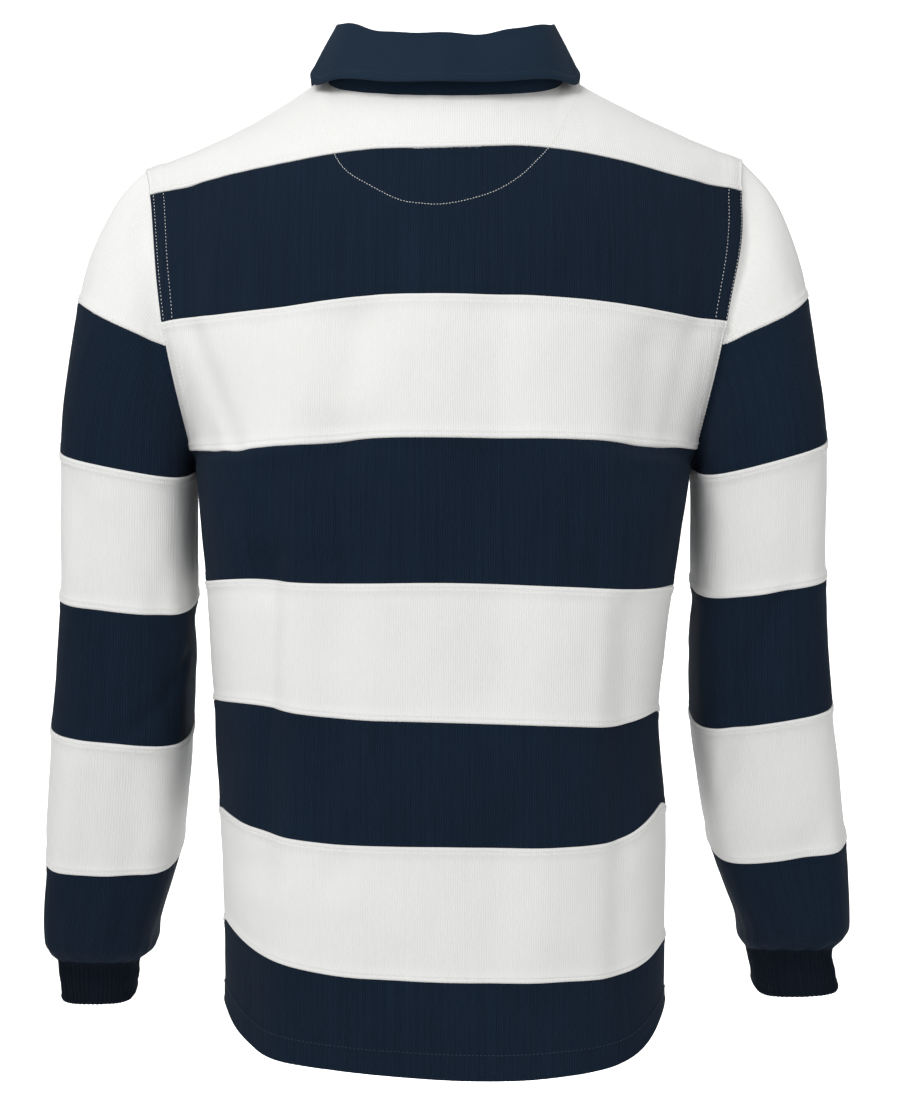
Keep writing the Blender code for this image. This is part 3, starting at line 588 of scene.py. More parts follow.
def arm_relief(u, v):
    """The body's edge at the armhole: two layers, with a furrow under each line of stitches."""
    distance = (1 - np.abs(u)) / U_PER_METRE
    furrows = sum(bell(distance - at, FURROW_WIDE) for at in ARM_NEEDLES)
    layers = ARM_LAYERS * (1 - smooth((distance - 0.0145) / 0.0030)) * smooth(distance / 0.0010)
    fade = 1 - smooth((v - 2.95) / 0.2)
    return (layers - ARM_FURROW * furrows)[None, :] * fade[:, None]


def shoulder_relief(u, v):
    """The shoulder seam: a lip with a line of stitches. The neck seam has none, under the collar."""
    return lip(v * YOKE_DEPTH, True)[:, None] * smooth((np.abs(u) - NECK_U) / 0.03)[None, :]


def facing_relief(points):
    """The second layer inside the back neck shows on the yoke: the cloth over it lies higher."""
    share = np.clip((-0.025 - points[..., 2]) / 0.050, 0, 1)
    edge = np.where(points[..., 0] > 0, 0.1005 - 0.016 * share, 0.1035 - 0.0225 * share)
    return FACING_HIGH * smooth((edge - np.abs(points[..., 0]) + 0.0008) / 0.0020)


def hem_relief(v):
    """The hem is turned up once, so it is one layer higher."""
    return HEM_HIGH * (1 - smooth(((8 - v) * HEM_STRIPE - HEM_TURN) / 0.002))


print("the hem stands out by, mm:", (1000 * hem_relief(np.array([7.5, 8.0]))).tolist())


# %% Small turns of the form: the neck's corner and the right armhole
def neck_point_eased(points, u):
    """The corner where the neck seam meets the shoulder seam, rounded over a few columns."""
    near = bell(np.abs(u) - NECK_U, 0.035)[None, :, None]
    soft = points.copy()
    for _ in range(8):
        soft[:, 1:-1] = (soft[:, :-2] + 2 * soft[:, 1:-1] + soft[:, 2:]) / 4
    return points + (soft - points) * near


def right_armhole_bow(u, v):
    """How far the back's edge bows out beside the right sleeve, most a little below the yoke."""
    return 0.0042 * bell(v - 1.42, 0.34)[:, None] * smooth((-u - 0.78) / 0.22)[None, :]


bow = right_armhole_bow(np.array([-1.0]), np.array([1.0, 1.5, 2.0]))
print("the right armhole bows out by, mm:", (1000 * bow[:, 0]).round(1).tolist())


# %% The dressed body
def body(face, u, v, seams=True):
    """Points of the dressed body, a row for each v."""
    points = neck_point_eased(panel(face, u, v), u)
    if face == "back":
        points[..., 0] -= right_armhole_bow(u, v)
    normals = panel_normal(face, u, v)
    push = folded(FOLDS[face], points)
    out = points - normals * push[..., None]
    if not seams:
        return out
    relief = uneven(points[..., 0], points[..., 2], 1.0 if face == "back" else 4.0)
    relief = relief * smooth((1 - np.abs(u)) / 0.06)[None, :]
    band = np.minimum(np.floor(v + 1e-9), 7).astype(int)
    t = v - band
    for edge, at in ((0, t), (1, 1 - t)):
        for colour in (0, 1):
            rows = (band % 2 == colour) & ((band > 0) | (edge == 1))
            relief[rows] += lip(at[rows] * BAND_HEIGHT, colour == 0)[:, None]
    relief += arm_relief(u, v)
    relief += hem_relief(v)[:, None]
    first = v < 0.999999
    relief[first] += shoulder_relief(u, v[first])
    if face == "back":
        relief[first] += facing_relief(points[first]) * smooth((1 - v[first]) / 0.05)[:, None]
    return out + normals * relief[..., None]


def body_rows():
    """The v of every row, with each seam twice: the end of one stripe and the start of the next."""
    starts = [np.full(len(BAND_T), k) + BAND_T for k in range(8)]
    for rows in starts:
        rows[0] += 1e-7
        rows[-1] -= 1e-7
    return np.concatenate(starts)


V_ALL = body_rows()
print("rows down the back:", len(V_ALL))


# %% Edges at a seam, and places on the cloth
def sewn_apart(points, sides_meet=False):
    """A piece's edges moved in by half the gap at a seam, its side edges only if they don't meet."""
    points = points.copy()
    for grid in (points,) if sides_meet else (points, points.swapaxes(0, 1)):
        for edge, inside in ((0, 1), (-1, -2)):
            grid[edge] += unit(grid[inside] - grid[edge]) * SEAM_GAP / 2
    return points


def place_on_cloth(points):
    """Metres across from the middle column and down from the first row."""
    middle = points.shape[1] // 2
    across = lengths(points, 1)
    across = across - across[:, middle:middle + 1]
    down = lengths(points, 0).mean(axis=1)
    return np.stack([across, np.broadcast_to(down[:, None], across.shape)], axis=2)


print("half a gap at each edge, mm:", 500 * SEAM_GAP)


# %% A whole face and one stripe of it
DRESSED = {}
UNDERARM_K = 2


def dress_face(face, us):
    """The whole face as one grid of points, normals and places on the cloth."""
    points = body(face, us, V_ALL)
    normals = grid_normals(points)
    seams = np.arange(1, 8) * len(BAND_T)
    for s in seams:
        normals[s - 1] = normals[s] = unit(points_normal(points, s))
    if face == "front":
        normals = -normals
    return points, normals, place_on_cloth(points)


def points_normal(points, s):
    """At a seam the two equal rows share the slope between their neighbours."""
    across = np.gradient(points[s], axis=0)
    return np.cross(across, points[s + 1] - points[s - 2])


def numbered(k):
    """A stripe's number and colour, as its name has them. k counts from 0 at the top."""
    return f"{k + 1}_" + ("navy" if k % 2 else "white")


def stripe(name, k, grids, columns, skip=None):
    points, normals, flat = (g[k * len(BAND_T):(k + 1) * len(BAND_T), columns] for g in grids)
    apart = sewn_apart(points, sides_meet=k > UNDERARM_K)
    wall(name, apart, normals, JERSEY, flat, NAVY if k % 2 else WHITE, skip=skip)
    DRESSED[name] = (points, normals)


print("the top stripe is called", numbered(0))

# %% Make the stripes of the back
backs = dress_face("back", WHOLE)
for k in range(8):
    stripe(f"back_{numbered(k)}_cloth", k, backs, slice(None))
print("back stripes made")

# %% [markdown]
# ## The front and its neck slit
# The front is cut like the back, but its top two stripes are slit down the middle so the head can pass,
# and the slit runs a little way into the third. The grid leaves out the cells of the slit.

# %% Stripes of the front
SLIT_LOW_V = 2.41
FRONT_HALF = half_columns(SLIT_U)
FRONT_US = np.concatenate([-FRONT_HALF[::-1], FRONT_HALF])
fronts = dress_face("front", FRONT_US)
count = len(FRONT_HALF)
for k in range(2):
    stripe(f"front_{numbered(k)}_left_cloth", k, fronts, slice(count, None))
    stripe(f"front_{numbered(k)}_right_cloth", k, fronts, slice(None, count))
for k in range(2, 8):
    slit = np.zeros((len(BAND_T) - 1, len(FRONT_US) - 1), bool)
    slit[k + BAND_T[1:] <= SLIT_LOW_V, count - 1] = True
    stripe(f"front_{numbered(k)}_cloth", k, fronts, slice(None), slit)
print("front stripes made")

# %% [markdown]
# ## Sleeves
# A sleeve is a tube over an angle round it, 0 outside and 90 degrees at the back, and w, which counts
# its stripes from the armhole to the cuff. From the armhole to the second seam each line of the tube
# leaves the shoulder level and bends down into the arm. Below that it goes through a short table of
# rings that follow the arm's slope to the front.

# %% Sizes of the sleeves
Ring = namedtuple("Ring", "w out_x out_z in_x in_z y depth tilt")
RING_ROWS = {
    1: [
        (2, 303.6, -294.5, 199.5, -314.8, 0, 63, 0.19),
        (3, 307.2, -411.8, 201.5, -421.6, -16, 61, 0.18),
        (4, 318.2, -514.1, 207, -524.7, -36, 58, 0.21),
        (5, 328.5, -620, 218.5, -623.2, -58, 54, 0.35),
        (5.6, 333, -694.5, 239.5, -690.5, -73, 49, 0.14),
        (5.86, 328.5, -711, 244.5, -710, -78, 44, 0.04),
        (6, 323.7, -720, 256.5, -721, -81, 34, -0.05),
        (6.5, 322.5, -736, 259, -736, -84, 31.5, 0.05),
        (7, 320.5, -749, 261.5, -749, -87, 30, 0.2),
    ],
    -1: [
        (2, 301.4, -285, 197, -312.8, 0, 63, 0.2),
        (3, 303.4, -395, 199, -409.2, -16, 61, 0.175),
        (4, 312.7, -496.9, 200.5, -513.7, -36, 58, 0.175),
        (5, 328, -606.5, 218, -619.4, -58, 54, 0.28),
        (5.6, 334.5, -683, 242.5, -684, -73, 49, 0.08),
        (5.86, 330.5, -700, 246, -703, -78, 44, -0.02),
        (6, 323, -712, 252.5, -712, -81, 34, -0.11),
        (6.5, 325, -727, 256.5, -729, -84, 32.5, 0.05),
        (7, 328, -741, 259.5, -743, -87, 32, 0.2),
    ],
}
RINGS = {side: [Ring(w, *mm(*sizes), tilt) for w, *sizes, tilt in rows] for side, rows in RING_ROWS.items()}
RIB_THICK = 0.0020
SLEEVE_FULL = 0.07
CAP_V = 2.18
CAP_SEAM_OUT_Z = {1: -0.182, -1: -0.178}
CAP_LEAN = {1: 0.03, -1: -0.12}
SLEEVE_COLUMNS = 132
ROUND = 2 * np.pi * np.arange(SLEEVE_COLUMNS) / SLEEVE_COLUMNS
print("rings of a sleeve:", len(RINGS[1]))


# %% Points of a sleeve
def ring_point(r, side, a):
    """Points of a ring at the angles a."""
    k = SLEEVE_FULL
    c = (np.cos(a) - k * np.cos(3 * a)) / (1 - k)
    s = (np.sin(a) + k * np.sin(3 * a)) / (1 - k)
    x = (r.out_x + r.in_x) / 2 + c * (r.out_x - r.in_x) / 2
    z = (r.out_z + r.in_z) / 2 + c * (r.out_z - r.in_z) / 2
    return stack(side * x, r.y + s * r.depth, z - s * r.depth * r.tilt)


def lower_sleeve(side, a, w):
    """Points for angles and stripe numbers of the same shape."""
    rings = RINGS[side]
    shares = through([r.w for r in rings], np.eye(len(rings)), w.reshape(-1)).T.reshape(-1, *w.shape, 1)
    return sum(share * ring_point(r, side, a) for share, r in zip(shares, rings))


elbow = lower_sleeve(1, np.zeros(1), np.full(1, 4.0))
print("outer side of the left elbow, m:", elbow[0].round(3).tolist())


# %% From the armhole to the second seam
def arm_line(side):
    """The armhole as points over the angle, down the back to the underarm and up the front."""
    v = np.linspace(0, UNDERARM_V, 160)
    parts = []
    for face in ("back", "front"):
        line = body(face, np.array([float(side)]), v, seams=False)
        run = lengths(line, 0)[:, 0]
        parts.append((np.pi * run / run[-1], line[:, 0]))
    (a0, p0), (a1, p1) = parts
    joined = (a0, 2 * np.pi - a1), (p0, p1), (v, v)
    return [np.concatenate([down, up[::-1][1:]]) for down, up in joined]


ARM = {side: arm_line(side) for side in (1, -1)}


def arm_edge(side, a):
    angle, points, _ = ARM[side]
    return on_line(np.mod(a, 2 * np.pi), angle, points)


def upper_sleeve(side, a, t):
    """Points from the armhole (t = 0) to the second seam (t = 1)."""
    start, end = arm_edge(side, a), ring_point(RINGS[side][0], side, a)
    chord = end - start
    size = np.linalg.norm(chord, axis=-1, keepdims=True)
    over = ((1 + np.cos(a)) / 2)[..., None]
    out = stack(side * (0.45 + 0.55 * over[..., 0]), 0.35 * np.sin(a), -0.55 + 0.2 * over[..., 0])
    leave = unit(unit(chord) * 0.5 + out * 0.8) * size * (0.75 + 0.15 * over)
    outwards = over * np.array([CAP_LEAN[side], 0, 0])
    arrive = unit(unit(lower_sleeve(side, a, np.full_like(a, 2 + STEP)) - end) + outwards) * size * 1.1
    return hermite(start, end, leave, arrive, t[..., None])


def sleeve_base(side, a, w):
    """The sleeve without folds. w below 2 is the upper part."""
    above = upper_sleeve(side, a, np.clip(w, 0, 2) / 2)
    return np.where((w < 2)[..., None], above, lower_sleeve(side, a, w))


def sleeve_base_normal(side, a, w):
    across = sleeve_base(side, a + STEP, w) - sleeve_base(side, a - STEP, w)
    down = sleeve_base(side, a, np.minimum(w + STEP, 7)) - sleeve_base(side, a, np.maximum(w - STEP, 0))
    return unit(np.cross(down, across)) * side


print("armhole round, m:", {s: round(float(lengths(ARM[s][1][:, None], 0)[-1, 0]), 3) for s in ARM})

# %% [markdown]
# ## Folds of the sleeves
# A sleeve bends a little at the elbow, so its inner side has short creases there and its outer side
# stays smooth. Just above the cuff the cloth is gathered: it is wider than the rib that holds it, so it
# swells out over the cuff in small upright waves.

# %% Tables of sleeve folds
SleeveFold = namedtuple("SleeveFold", "angle_top w_top angle_low w_low width depth")
SLEEVE_FOLD_ROWS = {
    1: [
        (100, 0.35, 116, 0.95, 12, 2.2), (62, 2.3, 80, 3.2, 14, 2.2),
        (118, 2.9, 134, 3.7, 10, 2.6), (150, 3.4, 100, 3.9, 9, 2.2),
        (66, 4.2, 52, 5.2, 13, -2.2), (104, 4.4, 112, 5.5, 12, 2.6),
        (200, 3.2, 250, 3.9, 11, 2.8), (215, 3.7, 262, 4.3, 10, 2.4),
        (290, 2.3, 276, 3.3, 14, 2.2), (300, 4.4, 292, 5.4, 12, 2.2),
        (20, 5, 16, 5.7, 12, 1.8),
    ],
    -1: [
        (84, 3.08, 104, 3.55, 8, 3.4), (96, 3.05, 118, 3.6, 12, -1.8),
        (112, 3.9, 124, 4.35, 10, 2.6), (64, 2.2, 72, 2.9, 13, 1.8),
        (54, 4.95, 58, 5.75, 10, -3), (78, 4.95, 84, 5.7, 12, 2.6),
        (104, 0.35, 118, 0.95, 12, 2), (204, 3.2, 252, 3.8, 11, 2.8),
        (214, 3.7, 264, 4.4, 10, 2.4), (292, 2.4, 280, 3.4, 14, 2.2),
        (302, 4.5, 294, 5.5, 12, 2.2),
    ],
}
SLEEVE_FOLDS = {
    side: [SleeveFold(*row[:4], *mm(*row[4:])) for row in rows] for side, rows in SLEEVE_FOLD_ROWS.items()
}
Dip = namedtuple("Dip", "angle spread depth")
ARM_DIPS = {
    1: [Dip(40, 16, 0.0040), Dip(88, 24, 0.0024), Dip(300, 24, 0.0026)],
    -1: [Dip(52, 34, 0.0075), Dip(108, 24, 0.0026), Dip(304, 24, 0.0026)],
}
DIP_W = 0.11
ARM_RADIUS = 0.057
GATHERS = 17
GATHER_DEPTH = 0.0011
print("sleeve folds:", {s: len(SLEEVE_FOLDS[s]) for s in SLEEVE_FOLDS})


# %% What they do to the sleeve
def sleeve_push(side, a, w):
    """How far folds and gathers push the sleeve's cloth in."""
    push = np.zeros(np.broadcast(a, w).shape)
    for f in SLEEVE_FOLDS[side]:
        t = (w - f.w_top) / (f.w_low - f.w_top)
        fade = smooth((t + 0.35) / 0.35) * smooth((1.35 - t) / 0.35)
        middle = np.radians(f.angle_top + (f.angle_low - f.angle_top) * t)
        off = (np.mod(a - middle + np.pi, 2 * np.pi) - np.pi) * ARM_RADIUS
        push += f.depth * fade * bell(off, f.width)
    near = smooth((w - 5.35) / 0.5) * smooth((6.05 - w) / 0.12)
    wave = np.sin(GATHERS * a + 0.9 * np.sin(3 * a + side) + 0.5 * np.sin(5 * a))
    strength = 0.6 + 0.4 * np.sin(2 * a + 1.3 * side)
    return push - GATHER_DEPTH * near * wave * strength


def dips(side, a, w):
    """How far the cloth dips in close beside the armhole's seam."""
    beside = w / DIP_W * np.exp(1 - w / DIP_W)
    degrees = np.degrees(np.mod(a, 2 * np.pi))
    return sum(d.depth * bell(degrees - d.angle, d.spread) * beside for d in ARM_DIPS[side])


def sleeve(side, a, w):
    """Points of the dressed sleeve without its seams, and the way its cloth faces."""
    points, normals = sleeve_base(side, a, w), sleeve_base_normal(side, a, w)
    calm = smooth(w / 0.3)
    push = sleeve_push(side, a, w) * calm - uneven(a * ARM_RADIUS, w * 0.11, 2.0 + side) * calm
    push = push + dips(side, a, w)
    return points - normals * push[..., None], normals


# %% The cap's seam
def cap_edge(side, a):
    """Where the cap's lower seam crosses each line of the sleeve: 0 where it meets the armhole."""
    angle, points, vs = ARM[side]
    under = int(np.argmax(vs))
    meet_back = float(np.interp(CAP_V, vs[:under + 1], angle[:under + 1]))
    meet_front = float(np.interp(CAP_V, vs[under:][::-1], angle[under:][::-1]))
    turned = np.mod(a, 2 * np.pi)
    meet_angle = np.where(turned < np.pi, meet_back, meet_front)
    meet_z = arm_edge(side, meet_angle)[..., 2]
    share = (np.abs(np.sin(turned / 2)) / np.sin(meet_angle / 2)) ** 1.4
    target = CAP_SEAM_OUT_Z[side] + (meet_z - CAP_SEAM_OUT_Z[side]) * share
    low, high = np.zeros_like(a), np.ones_like(a)
    for _ in range(40):
        t = (low + high) / 2
        above = upper_sleeve(side, a, t)[..., 2] > target
        low, high = np.where(above, t, low), np.where(above, high, t)
    inside = (turned < meet_back) | (turned > meet_front)
    return np.where(inside, low, 0.0), meet_back, meet_front


# %% One stripe of a sleeve, and the ribs of a cuff
RIBS = 66
RIB_DEPTH = 0.00045
CUFF_LONG = 0.030
CUFF_ROLL = 0.0012


def sleeve_piece(name, side, a, w, thick, material, closed=True, top_lip=True, low_lip=True, extra=0.0):
    """One stripe. a and w are grids of angles and stripe numbers."""
    points, normals = sleeve(side, a, w)
    down = lengths(points, 0)
    white = material is WHITE
    relief = top_lip * lip(down, white) + low_lip * lip(down[-1:] - down, white) + extra
    points = points + normals * relief[..., None]
    shown = grid_normals(points, closed)
    shown = shown * np.sign(np.sum(shown * normals, axis=-1, keepdims=True))
    across = a * ARM_RADIUS * side
    flat = np.stack([across, np.broadcast_to(down.mean(axis=1)[:, None], across.shape)], axis=2)
    wall(name, sewn_apart(points, closed), shown, thick, flat, material, closed)
    DRESSED[name] = (points, shown)


def rib_relief(a, down):
    """Upright ribs of the cuff, two stitches up and two down, round a tube."""
    wave = np.sin(RIBS * a)
    return RIB_DEPTH * np.clip(wave * 1.6, -1, 1) * smooth(down / 0.002)


print("ribs round a cuff:", RIBS)

# %% Make both sleeves
for side, word in ((1, "left"), (-1, "right")):
    seam_t, meet_back, meet_front = cap_edge(side, ROUND)
    top = np.linspace(meet_front - 2 * np.pi, meet_back, 91)
    cap_t = cap_edge(side, top)[0]
    cap_t[0] = cap_t[-1] = 0.0
    a, w = np.broadcast_arrays(top[None, :], BAND_T[:, None] * 2 * cap_t[None, :])
    sleeve_piece(f"sleeve_{word}_1_white_cloth", side, a, w, JERSEY, WHITE, closed=False, top_lip=False)
    t = seam_t[None, :] + (1 - seam_t[None, :]) * BAND_T[:, None]
    a = np.broadcast_to(ROUND, t.shape)
    sleeve_piece(f"sleeve_{word}_2_navy_cloth", side, a, np.minimum(2 * t, 2), JERSEY, NAVY)
    for k in range(2, 6):
        a, w = np.broadcast_arrays(ROUND[None, :], k + BAND_T[:, None])
        name = f"sleeve_{word}_{numbered(k)}_cloth"
        sleeve_piece(name, side, a, w, JERSEY, NAVY if k % 2 else WHITE, low_lip=k < 5)
    fine = 2 * np.pi * np.arange(RIBS * 6) / (RIBS * 6)
    a, w = np.broadcast_arrays(fine[None, :], np.linspace(6, 7, 22)[:, None])
    down = (w - 6) * CUFF_LONG
    rolled = CUFF_ROLL * bell(w - 6.96, 0.05)
    sleeve_piece(f"cuff_{word}_cloth", side, a, w, RIB_THICK, RIB, top_lip=False, low_lip=False,
                 extra=rib_relief(a, down) + rolled)
print("sleeves made")

# %% [markdown]
# ## Collar
# The collar is one long strip of twill, folded over. Its stand rises from the neck seam, the cloth
# rolls over at the top, and the fall hangs outside and ends in two points at the front. The table gives
# both edges at angles round the neck. A smooth curve through the few rows of the table's points makes
# the roll round.

# %% Sizes of the collar
TWILL_THICK = 0.0017
Collar = namedtuple("Collar", "angle top_x top_y top_z edge_x edge_y edge_z")
COLLAR_ROWS = [
    (0, 0, 52, 14, 0, 73, -20.5),
    (25, 36, 48, 16.3, 44, 67, -19),
    (55, 68, 32, 25.5, 84, 45, -12),
    (75, 81, 16, 31.8, 103.5, 23, -12),
    (90, 84, 0, 32, 107.5, 6, -1.5),
    (125, 73, -35, 10, 105, -44, -33),
    (150, 45, -56, -30, 81, -77.5, -80),
    (172, 14, -70, -62, 51, -91, -120),
]
COLLAR = [Collar(angle, *mm(*sizes)) for angle, *sizes in COLLAR_ROWS]
COLLAR_LIFT = 0.0006
STAND_BELLY = 0.001
FOLD_RISE = 0.006
FOLD_WIDTH = 0.0050
FALL_BELLY = 0.0005
ROLL = ((0.18, 0.80), (0.55, 1.00), (1.00, 0.35))
FALL_SHARES = (0.3, 0.65, 1.0)
FALL_NEEDLE = 0.0060
UP = np.array([0, 0, 1.0])


def collar_lines():
    """The stand's upper edge, the fall's lower edge and the way out, from right front round to left."""
    half = np.linspace(0, 172, 60)
    rows = through([c.angle for c in COLLAR], np.array([c[1:] for c in COLLAR]), half)
    top, edge = rows[:, :3], rows[:, 3:]
    turn = np.radians(half)
    out = stack(np.sin(turn), np.cos(turn), 0 * turn)
    flip = np.array([-1, 1, 1])
    around = [np.concatenate([g[::-1][:-1] * flip, g]) for g in (top, edge, out)]
    return *around, np.concatenate([-turn[::-1][:-1], turn])


TOP, EDGE, OUT, TURN = collar_lines()
print("collar columns:", len(TURN))


# %% Stand and fall
def collar_wave(turn):
    """The collar's top isn't quite even: a low wander along it, none at the ends."""
    return 0.0009 * np.sin(turn * 7 + 0.6) + 0.0006 * np.sin(turn * 12.3 + 2.0)


def make_stand():
    low = np.concatenate([neck_line(-TURN[TURN < 0], -1), neck_line(TURN[TURN >= 0], 1)]) + UP * COLLAR_LIFT
    allowance = low - OUT * 0.0022 - UP * 0.0045
    rows = np.array([TOP, (TOP + low) / 2 + OUT * STAND_BELLY, low, allowance])
    points = through([0, 1, 2, 2.4], rows, np.concatenate([np.linspace(0, 2, 16), [2.1, 2.2, 2.4]]))
    normals = np.broadcast_to(OUT, points.shape)
    wall("collar_stand_cloth", points, normals, TWILL_THICK, place_on_cloth(points), TWILL)


def make_fall():
    out = unit((EDGE - TOP) * np.array([1, 1, 0]))
    top = TOP + UP * collar_wave(TURN)[:, None]
    rows = [top + UP * SEAM_GAP]
    rows += [top + UP * FOLD_RISE * up + out * FOLD_WIDTH * away for away, up in ROLL]
    over = rows[-1]
    rows += [over + (EDGE - over) * t + out * FALL_BELLY * math.sin(math.pi * t) for t in FALL_SHARES]
    at = np.concatenate([np.linspace(0, 3, 22)[:-1], np.linspace(3, 6, 40)])
    points = through(range(len(rows)), np.array(rows), at)
    normals = grid_normals(points)
    normals *= np.sign((normals[-1] * out).sum())
    down = lengths(points[::-1], 0)[::-1]
    relief = 0.0005 * rounded(down, 0.0015) * (1 - smooth((down - 0.0062) / 0.0016))
    relief -= 0.0005 * bell(down - FALL_NEEDLE, FURROW_WIDE)
    relief += 0.0004 * np.sin(TURN * 9 + 1)[None, :] * smooth((at - 3) / 2)[:, None]
    points = points + normals * relief[..., None]
    wall("collar_fall_cloth", points, normals, TWILL_THICK, place_on_cloth(points), TWILL)
    return points, normals, down


make_stand()
fall_grid = make_fall()
print("fall's depth at the back, m:", round(float(lengths(fall_grid[0][21:], 0)[-1, len(TURN) // 2]), 4))

# %% [markdown]
# ## Placket
# The slit is closed by two strips of twill: the outer one that shows, and one under it that carries the
# buttons. They follow the front, so their points are the front's own, moved out or in.

# %% Placket strips
PLACKET_HALF = 0.017
UNDER_HALF = 0.0145
PLACKET_LOW_V = 2.70
PLACKET_LIFT = 0.0026
PLACKET_THICK = 0.0014
UNDER_LAY = 0.0005
BUTTON_LIFT = 0.0002


def front_strip(xs, vs):
    """The front's points and normals at the places xs across, for each row."""
    us = np.linspace(-0.2, 0.2, 81)
    grid, normals = panel("front", us, vs), panel_normal("front", us, vs)
    grid = grid - normals * folded(FOLDS["front"], grid)[..., None]
    points, ways = (np.array([on_line(xs, p[:, 0], r) for p, r in zip(grid, g)]) for g in (grid, normals))
    return points, unit(ways)


def strip(name, half, low_v, lift, thick, edge):
    inner = np.linspace(-half + 0.004, half - 0.004, 9)
    sides = np.array([0, 0.6, 1.2, 2.0, 2.8]) / 1000
    xs = np.concatenate([-half + sides, inner, half - sides[::-1]])
    vs = np.linspace(0.02, low_v, 90)
    points, normals = front_strip(xs, vs)
    away = np.minimum(half - np.abs(xs)[None, :], (low_v - vs)[:, None] * 0.1)
    relief = edge * rounded(away, 0.0015) - edge * bell(away - 0.002, 0.0007)
    points = points + normals * (lift + relief - edge)[..., None]
    wall(name, points, normals, thick, place_on_cloth(points), TWILL)
    return points, normals


placket_grid = strip("placket_outer_cloth", PLACKET_HALF, PLACKET_LOW_V, PLACKET_LIFT, PLACKET_THICK, 0.0004)
strip("placket_under_cloth", UNDER_HALF, PLACKET_LOW_V, -JERSEY - UNDER_LAY, TWILL_THICK, 0.0)
print("placket's length, m:", round(float(lengths(placket_grid[0], 0)[-1, 9]), 3))

# %% [markdown]
# ## Buttons
# Rugby shirts have soft rubber buttons, so that they can't hurt. One is a small moulded disc with a
# raised rim and a sunk middle with four thread holes. It is made by hand: a cylinder, its top face set
# in and pushed down, its edges rounded, and the holes cut out of it. Copies go to the other two places.

# %% Make one button at the origin, facing up
BUTTON_RADIUS = 0.0058
BUTTON_THICK = 0.0030
BUTTON_RIM = 0.0014
BUTTON_SLOPE = 0.0005
BUTTON_DISH = 0.0008
BUTTON_EDGE = 0.00045
THREAD_SUNK = 0.0007
HOLE_RADIUS = 0.00065
HOLE_OFF = 0.0012


def nothing_selected():
    if bpy.context.object and bpy.context.object.mode != "OBJECT":
        bpy.ops.object.mode_set(mode="OBJECT")
    bpy.ops.object.select_all(action="DESELECT")


def select_top(mesh_object):
    """Select the faces that look up, in edit mode."""
    bpy.ops.object.mode_set(mode="EDIT")
    bpy.ops.mesh.select_mode(type="FACE")
    bpy.ops.mesh.select_all(action="DESELECT")
    work = bmesh.from_edit_mesh(mesh_object.data)
    for f in work.faces:
        f.select_set(f.normal.z > 0.9)
    bmesh.update_edit_mesh(mesh_object.data)


nothing_selected()
middle = (0, 0, BUTTON_THICK / 2)
bpy.ops.mesh.primitive_cylinder_add(vertices=40, radius=BUTTON_RADIUS, depth=BUTTON_THICK, location=middle)
button = bpy.context.object
button.name = "button_1_turned"
bpy.ops.object.transform_apply(location=True, rotation=True, scale=True)
select_top(button)
bpy.ops.mesh.inset(thickness=BUTTON_RIM)
bpy.ops.mesh.inset(thickness=BUTTON_SLOPE)
bpy.ops.transform.translate(value=(0, 0, -BUTTON_DISH))
bpy.ops.object.mode_set(mode="OBJECT")
rounding = button.modifiers.new("rounding", "BEVEL")
rounding.width = BUTTON_EDGE
rounding.segments = 3
rounding.limit_method = "ANGLE"
rounding.angle_limit = math.radians(30)
bpy.ops.object.modifier_apply(modifier=rounding.name)
print("button faces before the holes:", len(button.data.polygons))

# %% Cut the four thread holes
for k in range(4):
    turn = math.pi / 4 + k * math.pi / 2
    nothing_selected()
    place = (HOLE_OFF * math.cos(turn), HOLE_OFF * math.sin(turn), 0)
    bpy.ops.mesh.primitive_cylinder_add(vertices=16, radius=HOLE_RADIUS, depth=0.01, location=place)
    drill = bpy.context.object
    nothing_selected()
    button.select_set(True)
    bpy.context.view_layer.objects.active = button
    cut = button.modifiers.new("hole", "BOOLEAN")
    cut.operation = "DIFFERENCE"
    cut.solver = "EXACT"
    cut.object = drill
    bpy.ops.object.modifier_apply(modifier=cut.name)
    bpy.data.objects.remove(drill, do_unlink=True)
bpy.ops.object.shade_smooth_by_angle(angle=math.radians(35))
print("button faces with holes:", len(button.data.polygons))

# %% Put the buttons on the placket
BUTTON_VS = (0.99, 1.55, 2.12)


def button_seat(v):
    """Where a button's underside lies on the placket, and the way it faces."""
    spot, way = (g[0, 0] for g in front_strip(np.array([0.0]), np.array([v])))
    return spot + way * (PLACKET_LIFT + BUTTON_LIFT), way


def seated(mesh, place, way):
    """Turn a mesh that faces up so that it faces the given way, and move it to its place."""
    up = Vector(way).normalized()
    across = (Vector((1, 0, 0)) - up * up.x).normalized()
    ahead = up.cross(across)
    for v in mesh.vertices:
        x, y, z = v.co
        v.co = Vector(place) + across * x + ahead * y + up * z


button.data.materials.clear()
button.data.materials.append(RUBBER)
pieces = [button]
for number in (2, 3):
    pieces.append(placed(f"button_{number}_turned", button.data.copy()))
for piece, v in zip(pieces, BUTTON_VS):
    piece.data.name = piece.name
    seated(piece.data, *button_seat(v))
print("buttons at v", BUTTON_VS)

# %% [markdown]
# ## Stitches
# Every visible line of sewing is a row of short raised threads. One stitch is modelled as a small bent
# bead that dips into the cloth at both ends, and is then laid along a line as often as it fits. Each
# line is read off the cloth's own grid, so the stitches lie in the furrows that were pressed for them.
# Stitches of one thread are joined in one mesh, because thousands of separate objects would be slow to
# handle.

# %% One stitch and its places along a line
STITCH_PITCH = 0.0030
Cut = namedtuple("Cut", "along size up")
BEAD = (Cut(-0.5, 0.35, -0.5), Cut(-0.28, 0.95, 0.35), Cut(0.28, 0.95, 0.35), Cut(0.5, 0.35, -0.5))


